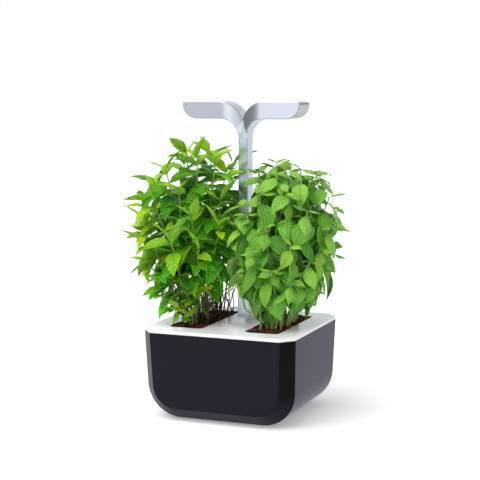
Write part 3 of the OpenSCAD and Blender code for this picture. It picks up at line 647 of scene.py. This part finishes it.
def scatter(name, shapes, node, count, seed):
    """Copies of loose shapes, lying on top of a grow block."""
    low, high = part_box(node)
    # how far inside the block's rim the shapes lie, and their ends may reach
    inside, reach = 3 * MM, 0.4 * MM
    draw = random.Random(seed)
    copies = []
    for index in range(count):
        copy = copy_mesh(shapes[index % len(shapes)])
        x = draw.uniform(low.x + inside, high.x - inside)
        y = draw.uniform(low.y + inside, high.y - inside)
        lie = Matrix.Translation((x, y, high.z + draw.uniform(-0.4, 0.5) * MM))
        turn = Matrix.Rotation(draw.uniform(0, math.tau), 4, "Z")
        # the fibre's curve lies flat, and its ends rise and dip a little
        roll = Matrix.Rotation(math.radians(90 + draw.uniform(-20, 20)), 4, "Z")
        tilt = Matrix.Rotation(math.radians(90 + draw.uniform(-5, 5)), 4, "X") @ roll
        if copy.name.startswith("chip"):
            tilt = Matrix.Rotation(math.radians(draw.uniform(-25, 25)), 4, "X")
        grow = Matrix.Scale(draw.uniform(0.6, 1.9), 4)
        copy.data.transform(lie @ turn @ tilt @ grow)
        points = points_of(copy.data)
        points[:, 0] = np.clip(points[:, 0], low.x + reach, high.x - reach)
        points[:, 1] = np.clip(points[:, 1], low.y + reach, high.y - reach)
        points[:, 2] = np.clip(points[:, 2], high.z - 1.5 * MM, high.z + 2.2 * MM)
        set_points(copy.data, points)
        copies.append(copy)
    return join(copies, name)


# ---- Plants ----


def leaf_blade(name, half_widths, tooth, droop, fold, pucker):
    """One leaf, 1 m long before it is scaled: a stalk that widens into a blade along +Y.

    half_widths go from the stalk's foot to the tip, tooth is how far the rim's teeth stand out,
    droop lowers the tip, fold lifts the two sides from the rib and pucker raises every second row
    between the veins, all as a share of the length.
    """
    rows = len(half_widths) - 1
    bpy.ops.object.select_all(action="DESELECT")
    bpy.ops.mesh.primitive_grid_add(
        x_subdivisions=4, y_subdivisions=rows, size=1, location=(0, 0.5, 0), calc_uvs=True
    )
    leaf = named(name)
    bpy.ops.object.transform_apply(location=True)
    edit(leaf)
    for row, half_width in enumerate(half_widths):
        rim = 1 + (tooth / half_width if half_width > 0.05 and row % 2 else 0)
        along = row / rows
        # the rib, the middle of each side and the rim, by their places in the grid
        for column, stretch in ((0, 1), (0.25, 1.06), (0.5, rim)):

            def still_flat(vert):
                x, y, z = vert.co
                here = abs(y - along) < 0.2 / rows and abs(abs(x) - column) < 0.1
                return here and abs(z) < 1e-6

            select_where(leaf, "VERT", still_flat)
            size = 2 * max(half_width, 0.001) * stretch
            bpy.ops.transform.resize(
                value=(size, 1, 1), orient_type="GLOBAL", center_override=(0, along, 0)
            )
            lift = fold * half_width * (2 * column) ** 1.5 - droop * along**2
            if column == 0.25 and half_width > 0.1:
                lift += pucker * (1 if row % 2 else -1)
            bpy.ops.transform.translate(value=(0, 0, lift + 2e-6))
    bpy.ops.mesh.select_all(action="SELECT")
    bpy.ops.mesh.remove_doubles(threshold=0.004)
    bpy.ops.object.mode_set(mode="OBJECT")
    apply_modifier(leaf, "SOLIDIFY", thickness=0.012, offset=0)
    smooth(leaf, 50)
    normals = np.empty(len(leaf.data.vertices) * 3)
    leaf.data.vertices.foreach_get("normal", normals)
    set_attribute(leaf.data, "under", normals.reshape(-1, 3)[:, 2] < 0)
    return leaf


def bend_leaf(points, curl, twist):
    """Curls a leaf's points down along its length, and twists it about its length, in radians."""
    x, y, z = points.T
    turn = twist * y
    x, z = x * np.cos(turn) - z * np.sin(turn), x * np.sin(turn) + z * np.cos(turn)
    if abs(curl) < 1e-3:
        return np.stack([x, y, z], 1)
    radius = 1 / curl
    angle = y * curl
    return np.stack([x, (radius + z) * np.sin(angle), (radius + z) * np.cos(angle) - radius], 1)


def clear_of(points, side):
    """True where a leaf keeps off the garden, the other plant and the rim of the garden's box."""
    x, y, z = (points / MM).T
    in_box = np.all(np.abs(x) < 145) and np.all(np.abs(y) < 92) and np.all(z < 331)
    off_lid = np.all(z > LID_TOP + 0.8)
    own_side = np.all(side * x > -12)
    by_mast = (np.abs(x) < 9.5) & (np.abs(y - MAST_AT) < 10.5)
    by_pedestal = (np.abs(x) < 11) & (y > -13) & (y < 42) & (z < PEDESTAL_TOP + 2)
    by_neck = (np.abs(x) < 20) & (np.abs(y - MAST_AT) < 19) & (z > 318)
    touches = np.any(by_mast | by_pedestal | by_neck)
    return bool(in_box and off_lid and own_side and not touches)


def meets_arm(points):
    """True where a leaf would meet the lamp's arms once its basket is lifted."""
    x, y, z = (points / MM).T
    return bool(np.any((np.abs(x) < 76) & (np.abs(y - MAST_AT) < 20) & (z > 325)))


def sideways(x_angle, y_angle):
    """A level step whose two parts swing with two angles."""
    return Vector((math.sin(x_angle), math.cos(y_angle), 0))


def shoot_path(foot, tip, lean, steps=14):
    """Points from a foot in the block to a shoot's tip: straight up first, then out, then up."""
    rise = tip.z - foot.z
    near = foot + UP * rise * 0.36 + sideways(30 * lean, 30 * lean) * rise * 0.06
    far = tip - UP * rise * 0.2 - Vector((tip.x - foot.x, tip.y - foot.y, 0)) * lean
    points = []
    for step in range(steps + 1):
        t = step / steps
        s = 1 - t
        sway = sideways(11 * t + 40 * lean, 13 * t + 70 * lean) * 2.2 * MM * s * t * 4
        points.append(foot * s**3 + near * 3 * s * s * t + far * 3 * s * t * t + tip * t**3 + sway)
    return points


def stem_tube(points, foot_radius, tip_radius):
    """A tapered stem along its points, closed at both ends."""
    bpy.ops.object.select_all(action="DESELECT")
    bpy.ops.curve.primitive_bezier_curve_add(location=(0, 0, 0))
    stem = bpy.context.object
    curve = stem.data
    curve.splines.clear()
    spline = curve.splines.new("POLY")
    spline.points.add(len(points) - 1)
    for index, (knot, point) in enumerate(zip(spline.points, points)):
        knot.co = (*point, 1)
        knot.radius = 1 + (tip_radius / foot_radius - 1) * index / (len(points) - 1)
    curve.dimensions = "3D"
    curve.bevel_depth = foot_radius
    curve.bevel_resolution = 1
    curve.use_fill_caps = True
    bpy.ops.object.convert(target="MESH")
    return bpy.context.object


class Plant(NamedTuple):
    """What sets one plant's habit apart from the other's. Lengths are in mm, angles in degrees."""

    name: str
    side: int  # of the garden that it stands on, -1 at the left
    seed: int
    tips: list  # where its shoots end
    bare: float  # share of a shoot without leaves
    radius: float  # of a shoot's foot
    node: float  # distance between a shoot's pairs of leaves
    leaf: float  # length of a grown leaf
    sizes: tuple  # smallest and largest share of that length
    tuft: float  # size of a tip's leaves beside grown ones
    opening: tuple  # angle of a young and of a grown leaf from the shoot
    droop: float  # how far a leaf hangs
    curls: tuple  # least and most curl along a leaf
    roll: float  # most turn of a leaf about its length
    lit_young_from: float  # how far out the sunlit side begins, where leaves are drawn young, yellower and lighter: partly young growth, partly painted light
    picked: float  # height over the block below which most leaves have been picked
    half_widths: tuple  # of a leaf from stalk to tip, as a share of its length
    tooth: float  # how far the teeth of its rim stand out, as a share of its length
    forms: tuple  # droop, fold and pucker of each of its leaf shapes


MINT_TIPS = [
    (-64, -14, 304), (-44, -30, 299), (-22, -30, 298), (-14, -16, 282), (-80, -38, 287),
    (-93, -46, 258), (-103, -48, 228), (-102, -46, 200), (-97, -50, 176), (-84, -50, 152),
    (-58, -52, 264), (-38, -60, 234), (-62, -66, 208), (-32, -54, 196), (-104, -10, 266),
    (-112, 8, 224), (-100, 24, 180), (-84, 22, 288), (-52, 26, 304), (-26, 36, 290), (-62, 58, 262),
    (-96, 50, 236), (-38, 60, 228), (-70, 64, 186), (-30, -6, 250), (-64, 4, 244), (-22, 34, 226),
    (-58, -56, 124), (-46, -52, 121), (-70, -48, 130), (-14, -32, 250), (-10, -44, 222),
    (-16, -30, 212), (-112, -30, 246), (-110, -34, 212), (-66, -52, 160), (-78, -54, 170),
    (-42, -46, 142),
]
BASIL_TIPS = [
    (26, -14, 284), (36, 14, 288), (52, -24, 283), (70, 8, 286), (62, -8, 280), (94, 6, 280),
    (108, -4, 256), (114, -10, 230), (109, -18, 200), (104, -12, 172), (92, 2, 148), (38, -46, 266),
    (74, -48, 264), (94, -40, 244), (26, -48, 238), (54, -64, 226), (82, -60, 206), (36, -64, 198),
    (62, -66, 178), (98, -42, 186), (30, -50, 166), (82, -54, 166), (44, 46, 282), (86, 44, 270),
    (106, 34, 238), (66, 66, 236), (32, 56, 226), (98, 54, 190), (56, 72, 190), (60, 2, 254),
    (26, 34, 190), (22, -46, 132), (78, -58, 126), (44, -57, 121), (20, -50, 178), (14, -34, 252),
    (12, -44, 226), (14, -50, 204), (14, -36, 164), (46, -10, 296), (80, -20, 277), (84, 24, 281),
    (22, 0, 282), (44, 28, 286), (70, -36, 232),
]
MINT = Plant(
    name="mint", side=-1, seed=21, tips=MINT_TIPS, bare=0.36, radius=1.1, node=18, leaf=38,
    sizes=(0.7, 1.22), tuft=0.8, opening=(34, 74), droop=0.5, curls=(5, 45), roll=38, lit_young_from=84,
    picked=0, half_widths=(0.02, 0.16, 0.24, 0.245, 0.21, 0.155, 0.085, 0.0), tooth=0.014,
    forms=((0.02, 0.35, 0.022), (0.08, 0.15, 0.03), (0.0, 0.5, 0.018)),
)
BASIL = Plant(
    name="basil", side=1, seed=22, tips=BASIL_TIPS, bare=0.36, radius=1.3, node=16, leaf=35,
    sizes=(0.6, 1.4), tuft=0.5, opening=(44, 76), droop=1.25, curls=(30, 105), roll=34, lit_young_from=150,
    picked=16, half_widths=(0.014, 0.2, 0.30, 0.31, 0.27, 0.19, 0.09, 0.0), tooth=0.0,
    forms=((0.05, -0.3, 0.016), (0.12, 0.15, 0.02), (0.02, -0.5, 0.01)),
)
# of the leaves to be picked, one in this many is left
PICKED_ONE_IN = 3


def place_leaf(blade, foot, way, normal, size, width, curl, twist):
    """The points of a blade that grows from a foot along a way, facing along a normal."""
    normal = (normal - way * normal.dot(way)).normalized()
    turned = Matrix((way.cross(normal).normalized(), way, normal)).transposed()
    points = bend_leaf(points_of(blade.data) * (width, 1, 1), curl, twist) * size
    return points @ np.array(turned).T + np.array(foot)


def grow_leaf(plant, draw, blades, place, along, turn, age):
    """One leaf on a stem, turned about it to where it is clear. Returns None if it never is."""
    side = along.cross(UP)
    side = side.normalized() if side.length > 1e-3 else Vector((1, 0, 0))
    front = side.cross(along).normalized()
    blade = blades[draw.randrange(len(blades))]
    young, grown = plant.opening
    for attempt in range(6):
        spin = turn + draw.uniform(-0.2, 0.2) + attempt * 0.7
        opened = math.radians(young + (grown - young) * age + draw.uniform(-14, 14))
        out = side * math.cos(spin) + front * math.sin(spin)
        way = along * math.cos(opened) + out * math.sin(opened)
        hang = plant.droop * (0.35 + 0.65 * age) * draw.uniform(0.45, 1.35)
        way = (way - UP * hang).normalized()
        roll = Matrix.Rotation(math.radians(draw.uniform(-plant.roll, plant.roll)), 3, way)
        size = plant.leaf * MM * (plant.tuft + (1 - plant.tuft) * age) * draw.uniform(*plant.sizes)
        # leaves less than 80 mm above the lid had less light and stayed smaller
        size *= 0.62 + 0.38 * max(0.0, min(1.0, (place.z / MM - 115) / 80))
        curl = math.radians(draw.uniform(*plant.curls) * (0.6 + 0.4 * age))
        twist = math.radians(draw.uniform(-25, 25))
        normal = roll @ (along * 0.6 + UP * 0.5 + out * 0.15)
        foot = place + out * 0.8 * MM
        width = 0.78 + 0.22 * age
        points = place_leaf(blade, foot, way, normal, size * 0.9**attempt, width, curl, twist)
        if clear_of(points, plant.side):
            leaf = copy_mesh(blade)
            set_points(leaf.data, points)
            # leaves on the sunlit outer side are drawn younger, so yellower and lighter: partly
            # young growth, partly painted light where the key light falls
            sunlit = plant.side * place.x > plant.lit_young_from * MM
            ripe = age + draw.uniform(-0.25, 0.2) - 0.55 * sunlit
            set_attribute(leaf.data, "age", max(0.0, min(1.0, ripe)))
            set_attribute(leaf.data, "tone", draw.random())
            return leaf
    return None


def grow_leaves(plant, draw, blades, path, ground, shoot):
    """Leaves in pairs from a shoot's tip down to where it is bare, each pair across the last.

    Most of those that hang low over the ground have been picked, and which depends on the shoot.
    """
    leaves = []
    lengths = [0.0]
    for a, b in zip(path, path[1:]):
        lengths.append(lengths[-1] + (b - a).length)
    at = lengths[-1]
    turn = draw.uniform(0, math.tau)
    node = 0
    while at > lengths[-1] * plant.bare and at > 8 * MM:
        index = min(max(i for i, v in enumerate(lengths) if v <= at), len(path) - 2)
        share = (at - lengths[index]) / (lengths[index + 1] - lengths[index])
        place = path[index].lerp(path[index + 1], share)
        along = (path[index + 1] - path[index]).normalized()
        age = min(1.0, node / 2.5)
        for leaf_turn in (0, math.pi):
            grown = grow_leaf(plant, draw, blades, place, along, turn + leaf_turn, age)
            if grown is None:
                continue
            points = points_of(grown.data)
            hangs_low = points[:, 2].min() - ground < plant.picked * MM
            if meets_arm(points) or (hangs_low and (node + shoot) % PICKED_ONE_IN):
                bpy.data.objects.remove(grown)
            else:
                leaves.append(grown)
        turn += math.pi / 2 + draw.uniform(-0.25, 0.25)
        at -= plant.node * MM * (0.35 + 0.65 * age) * draw.uniform(0.85, 1.15)
        node += 1
    return leaves


def foot_of_shoot(draw, tip, low, high):
    """Where a shoot leaves its block: on the side that its tip leans to, inside the rim."""
    rim, spread = 5 * MM, 13 * MM
    middle = (low + high) / 2
    reach = tip - middle
    foot = Vector((middle.x + reach.x * 0.22 + draw.uniform(-6, 6) * MM, 0, high.z - 2 * MM))
    foot.x = max(middle.x - spread, min(middle.x + spread, foot.x))
    foot.y = middle.y + reach.y * 0.6 + draw.uniform(-9, 9) * MM
    foot.y = max(low.y + rim, min(high.y - rim, foot.y))
    return foot


def grow_plant(plant, blades):
    """Grows one plant's shoots from its block. Returns its stems and its leaves."""
    draw = random.Random(plant.seed)
    low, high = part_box(f"{plant.name}_block")
    stems, leaves = [], []
    for shoot, tip_mm in enumerate(plant.tips):
        tip = Vector(tip_mm) * MM
        foot = foot_of_shoot(draw, tip, low, high)
        path = shoot_path(foot, tip, draw.uniform(0.05, 0.3))
        stem = stem_tube(path, plant.radius * MM * draw.uniform(0.8, 1.2), 0.7 * MM)
        # shoots at the front are still soft, but for some
        set_attribute(stem.data, "wood", float(foot.y > low.y + 30 * MM or draw.random() < 0.3))
        grown = grow_leaves(plant, draw, blades, path, high.z, shoot)
        # the lowest shoots were cut off when the leaves were picked
        if tip.z - high.z < 2 * plant.picked * MM:
            for cut in (stem, *grown):
                bpy.data.objects.remove(cut)
        else:
            stems.append(stem)
            leaves += grown
    return stems, leaves


def woody_twigs(block, count, seed):
    """Old bare stems that lean and cross each other at the foot of the mint."""
    draw = random.Random(seed)
    low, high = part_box(block)
    twigs = []
    for _ in range(count):
        x = draw.uniform(low.x + 5 * MM, high.x - 5 * MM)
        y = draw.uniform(low.y + 14 * MM, high.y - 5 * MM)
        foot = Vector((x, y, high.z - 2 * MM))
        lean = Vector((draw.uniform(-26, 26), draw.uniform(-46, 46), draw.uniform(8, 70))) * MM
        path = shoot_path(foot, foot + lean, draw.uniform(0.1, 0.9), 10)
        twig = stem_tube(path, draw.uniform(0.5, 1.0) * MM, 0.4 * MM)
        set_attribute(twig.data, "wood", 1.0)
        twigs.append(twig)
    return twigs


# ---- Stage ----


# how strongly the floor glows to the camera, so that it is white and still keeps the shadow
FLOOR_GLOW = 0.27


def build_floor():
    """A pale floor that keeps the garden's shadow and is white to the camera."""
    bpy.ops.object.select_all(action="DESELECT")
    bpy.ops.mesh.primitive_plane_add(size=12)
    floor = named("floor")
    material = bpy.data.materials.new("studio_floor_paint")
    material.use_nodes = True
    tree = material.node_tree
    tree.nodes.remove(tree.nodes["Principled BSDF"])
    seen = add_node(tree, "LightPath", output="Is Camera Ray")
    level = add_node(tree, "Math", {"operation": "MULTIPLY", 1: FLOOR_GLOW}, {0: seen})
    paint = add_node(tree, "BsdfDiffuse", {"Color": linear("#ececed")})
    glow = add_node(tree, "Emission", {"Color": (1, 1, 1, 1)}, {"Strength": level})
    both = add_node(tree, "AddShader", links={0: paint, 1: glow})
    tree.links.new(both, tree.nodes["Material Output"].inputs["Surface"])
    floor.data.materials.append(material)
    floor.visible_glossy = False


# What gloss mirrors all round the studio, as degrees from the front towards +X and brightness,
# where 1 is white: pale walls, with dark flags at both sides and narrow bright panels in front
STUDIO_PANELS = (
    (-180, 1.0), (-140, 1.05), (-111, 0.8), (-88, 0.5), (-72, 0.14), (-50, 0.14), (-38, 0.2),
    (-33, 0.5), (-30, 1.7), (-26, 1.6), (-22.5, 0.55), (-14, 0.38), (-9, 1.15), (0, 1.2), (10, 0.8),
    (25, 0.4), (45, 0.14), (95, 0.14), (125, 0.5), (150, 0.78), (165, 0.82), (180, 1.0),
)
# no more than this is shown, and the studio is slightly blue
PANEL_TOP = 1.4
STUDIO_TINT = (0.88, 0.94, 1.04, 1)
CEILING_LEVEL, FLOOR_LEVEL = 0.5, 0.4


def build_world(scene, settings):
    """Even soft light, a white background, and a studio of panels for gloss to mirror."""
    world = bpy.data.worlds.new("studio")
    scene.world = world
    world.use_nodes = True
    tree = world.node_tree
    way = add_node(tree, "TexCoord", output="Generated")
    right, back, up = add_node(tree, "SeparateXYZ", links={"Vector": way}).node.outputs
    front = add_node(tree, "Math", {"operation": "MULTIPLY", 1: -1.0}, {0: back})
    turn = add_node(tree, "Math", {"operation": "ARCTAN2"}, {0: right, 1: front})
    place = add_node(tree, "MapRange", {"From Min": -math.pi, "From Max": math.pi}, {"Value": turn})
    panels = add_node(tree, "ValToRGB", links={"Fac": place})
    ramp = panels.node.color_ramp
    while len(ramp.elements) < len(STUDIO_PANELS):
        ramp.elements.new(0.5)
    for mark, (degrees, level) in zip(ramp.elements, STUDIO_PANELS):
        mark.position = (degrees + 180) / 360
        mark.color = [level / PANEL_TOP] * 3 + [1]
    walls = add_node(tree, "Math", {"operation": "MULTIPLY", 1: PANEL_TOP}, {0: panels})
    # a grey ceiling and a darker floor close the studio
    above = add_node(tree, "MapRange", {"From Min": 0.22, "From Max": 0.45}, {"Value": up})
    walls = add_node(tree, "Mix", {"data_type": "FLOAT", 3: CEILING_LEVEL}, {0: above, 2: walls})
    below = add_node(tree, "MapRange", {"From Min": -0.3, "From Max": -0.6}, {"Value": up})
    studio = add_node(tree, "Mix", {"data_type": "FLOAT", 3: FLOOR_LEVEL}, {0: below, 2: walls})
    glossy = add_node(tree, "LightPath", output="Is Glossy Ray")
    level = add_node(tree, "Mix", {"data_type": "FLOAT", 2: settings.sky}, {0: glossy, 3: studio})
    camera = add_node(tree, "LightPath", output="Is Camera Ray")
    through = add_node(tree, "LightPath", output="Is Transmission Ray")
    seen = add_node(tree, "Math", {"operation": "MAXIMUM"}, {0: camera, 1: through})
    level = add_node(tree, "Mix", {"data_type": "FLOAT", 3: 1.0}, {0: seen, 2: level})
    background = tree.nodes["Background"]
    tint = add_node(
        tree, "Mix", {"data_type": "RGBA", 6: (1, 1, 1, 1), 7: STUDIO_TINT}, {0: glossy}, output=2
    )
    tree.links.new(tint, background.inputs["Color"])
    tree.links.new(level, background.inputs["Strength"])


# the way that the key light shines, and how broad it looks, in degrees
KEY_WAY = (0.3, 0.5, -1.0)
KEY_BREADTH = 50


def build_light(settings):
    """One broad key light from the upper left front."""
    data = bpy.data.lights.new("key", "SUN")
    data.energy = settings.key
    data.angle = math.radians(KEY_BREADTH)
    key = bpy.data.objects.new("key", data)
    key.rotation_euler = Vector(KEY_WAY).to_track_quat("-Z", "Y").to_euler()
    bpy.context.scene.collection.objects.link(key)


# in metres, and in degrees about X, Y and Z
CAMERA_AT = (0.571, -1.431, 0.390)
CAMERA_TURNS = (83.06, 0.1, 21.83)


def build_camera(scene, settings):
    """A long lens above the lid, turned to show the front and the right side."""
    data = bpy.data.cameras.new("camera")
    data.lens = settings.lens
    camera = bpy.data.objects.new("camera", data)
    camera.location = CAMERA_AT
    camera.rotation_euler = [math.radians(turn) for turn in CAMERA_TURNS]
    scene.collection.objects.link(camera)
    scene.camera = camera


# ---- Settings and operators ----


class GardenBodySettings(bpy.types.PropertyGroup):
    """Edge sizes of the moulded pieces."""

    tank_edge: bpy.props.FloatProperty(
        name="Tank edge", description="Radius along the tank's edges", default=0.5 * MM,
        unit="LENGTH",
    )
    lid_edge: bpy.props.FloatProperty(
        name="Lid edge", description="Radius along the lid's edges", default=0.6 * MM, unit="LENGTH"
    )
    lamp_edge: bpy.props.FloatProperty(
        name="Lamp edge", description="Width of the bevel along the lamp", default=0.9 * MM,
        unit="LENGTH",
    )


class GardenFinishSettings(bpy.types.PropertyGroup):
    """Colours of the large surfaces."""

    tank_colour: bpy.props.FloatVectorProperty(
        name="Tank", description="Colour of the tank", subtype="COLOR", size=4,
        default=linear("#0e0f11"),
    )
    lid_colour: bpy.props.FloatVectorProperty(
        name="Lid", description="Colour of the lid", subtype="COLOR", size=4,
        default=linear("#fcfcfc"),
    )
    lamp_colour: bpy.props.FloatVectorProperty(
        name="Lamp", description="Colour of the lamp", subtype="COLOR", size=4,
        default=linear("#ecedf1"),
    )
    soil_colour: bpy.props.FloatVectorProperty(
        name="Grow medium", description="Colour of the blocks", subtype="COLOR", size=4,
        default=linear("#2c1b16"),
    )


class GardenStageSettings(bpy.types.PropertyGroup):
    """Camera and light."""

    lens: bpy.props.FloatProperty(
        name="Lens", description="Focal length in mm", default=99.4, unit="CAMERA"
    )
    sky: bpy.props.FloatProperty(name="Sky", description="Light from all round", default=0.7)
    key: bpy.props.FloatProperty(name="Key", description="Strength of the main light", default=1.9)


class GARDEN_OT_tank(bpy.types.Operator):
    """Build the tank"""

    bl_idname = "garden.tank"
    bl_label = "Tank"

    def execute(self, context):
        tank = build_tank(context.scene.garden_body)
        finish_piece(tank, "tank_black", "tank", "water_tank")
        return {"FINISHED"}


class GARDEN_OT_lid(bpy.types.Operator):
    """Build the lid and its hatch"""

    bl_idname = "garden.lid"
    bl_label = "Lid"

    def execute(self, context):
        lid = build_lid(context.scene.garden_body)
        finish_piece(lid, "lid_white", "lid", "lid")
        finish_piece(build_hatch(), "lid_white", "hatch", "fill_hatch")
        return {"FINISHED"}


class GARDEN_OT_lamp(bpy.types.Operator):
    """Build the lamp's shell"""

    bl_idname = "garden.lamp"
    bl_label = "Lamp"

    def execute(self, context):
        halves = (("lamp_front_shell", "lamp_front", -1), ("lamp_rear_shell", "lamp_rear", 1))
        for node, name, side in halves:
            half = build_lamp_half(node, name, side, context.scene.garden_body)
            finish_piece(half, "lamp_silver", "lamp", node)
        return {"FINISHED"}


class GARDEN_OT_blocks(bpy.types.Operator):
    """Build the grow blocks and the loose fibre on them"""

    bl_idname = "garden.blocks"
    bl_label = "Grow blocks"

    def execute(self, context):
        shapes = [fibre_strand(), fibre_strand(), bark_chip()]
        shapes[1].data.transform(Matrix.Scale(0.7, 4))
        for plant, seed in (("mint", 11), ("basil", 12)):
            block = build_block(f"{plant}_block", f"{plant}_grow_block", seed)
            finish_piece(block, "soil", f"{plant}_pod", f"{plant}_block")
            loose = scatter(f"{plant}_loose_fibre", shapes, f"{plant}_block", count=150, seed=seed)
            finish_piece(loose, "soil", f"{plant}_pod", finish="soil_fibre")
        for shape in shapes:
            bpy.data.objects.remove(shape)
        return {"FINISHED"}


class GARDEN_OT_plants(bpy.types.Operator):
    """Grow the mint and the basil"""

    bl_idname = "garden.plants"
    bl_label = "Plants"

    def execute(self, context):
        for plant in (MINT, BASIL):
            name = plant.name
            blades = [
                leaf_blade(f"{name}_blade_{index}", plant.half_widths, plant.tooth, *form)
                for index, form in enumerate(plant.forms)
            ]
            stems, leaves = grow_plant(plant, blades)
            if plant is MINT:
                stems += woody_twigs("mint_block", count=46, seed=23)
            sprigs = join(stems, f"{name}_sprigs")
            smooth(sprigs, 60)
            finish_piece(sprigs, f"{name}_stem", f"{name}_pod", f"{name}_stems")
            crown = join(leaves, f"{name}_leaves")
            finish_piece(crown, f"{name}_leaf", f"{name}_pod", f"{name}_foliage")
            for blade in blades:
                bpy.data.objects.remove(blade)
        return {"FINISHED"}


class GARDEN_OT_finishes(bpy.types.Operator):
    """Give every carried-over CAD node its finish"""

    bl_idname = "garden.finishes"
    bl_label = "Finishes"

    def execute(self, context):
        slots = {part["node"]: part["material_slot"] for part in frame["record"]["subparts"]}
        for name, node in NODES.items():
            if node.hide_render:
                continue
            if name not in slots:
                raise RuntimeError(f"{name} has no material slot in the record")
            node.data.materials.clear()
            node.data.materials.append(finish_of(slots[name]))
        return {"FINISHED"}


class GARDEN_OT_stage(bpy.types.Operator):
    """Set up the floor, the light and the camera"""

    bl_idname = "garden.stage"
    bl_label = "Stage"

    def execute(self, context):
        settings = context.scene.garden_stage
        build_floor()
        build_world(context.scene, settings)
        build_light(settings)
        build_camera(context.scene, settings)
        return {"FINISHED"}


class GARDEN_PT_panel(bpy.types.Panel):
    """Settings and steps of the garden"""

    bl_idname = "GARDEN_PT_panel"
    bl_label = "Countertop Garden"
    bl_space_type = "VIEW_3D"
    bl_region_type = "UI"
    bl_category = "Garden"

    def draw(self, context):
        for group in ("garden_body", "garden_finish", "garden_stage"):
            settings = getattr(context.scene, group)
            box = self.layout.box()
            for name in settings.__annotations__:
                box.prop(settings, name)
        for step in STEPS:
            self.layout.operator(step.bl_idname)


STEPS = (
    GARDEN_OT_tank, GARDEN_OT_lid, GARDEN_OT_lamp, GARDEN_OT_blocks, GARDEN_OT_plants,
    GARDEN_OT_finishes, GARDEN_OT_stage,
)
GROUPS = {
    "garden_body": GardenBodySettings, "garden_finish": GardenFinishSettings,
    "garden_stage": GardenStageSettings,
}


def register():
    for group in GROUPS.values():
        bpy.utils.register_class(group)
    for name, group in GROUPS.items():
        setattr(bpy.types.Scene, name, bpy.props.PointerProperty(type=group))
    for step in (*STEPS, GARDEN_PT_panel):
        bpy.utils.register_class(step)


def unregister():
    for step in (*STEPS, GARDEN_PT_panel):
        bpy.utils.unregister_class(step)
    for name, group in GROUPS.items():
        delattr(bpy.types.Scene, name)
        bpy.utils.unregister_class(group)


def main():
    register()
    bpy.context.scene.view_settings.view_transform = "Standard"
    bpy.ops.garden.tank()
    bpy.ops.garden.lid()
    bpy.ops.garden.lamp()
    bpy.ops.garden.blocks()
    bpy.ops.garden.plants()
    bpy.ops.garden.finishes()
    bpy.ops.garden.stage()


if __name__ == "__main__":
    main()
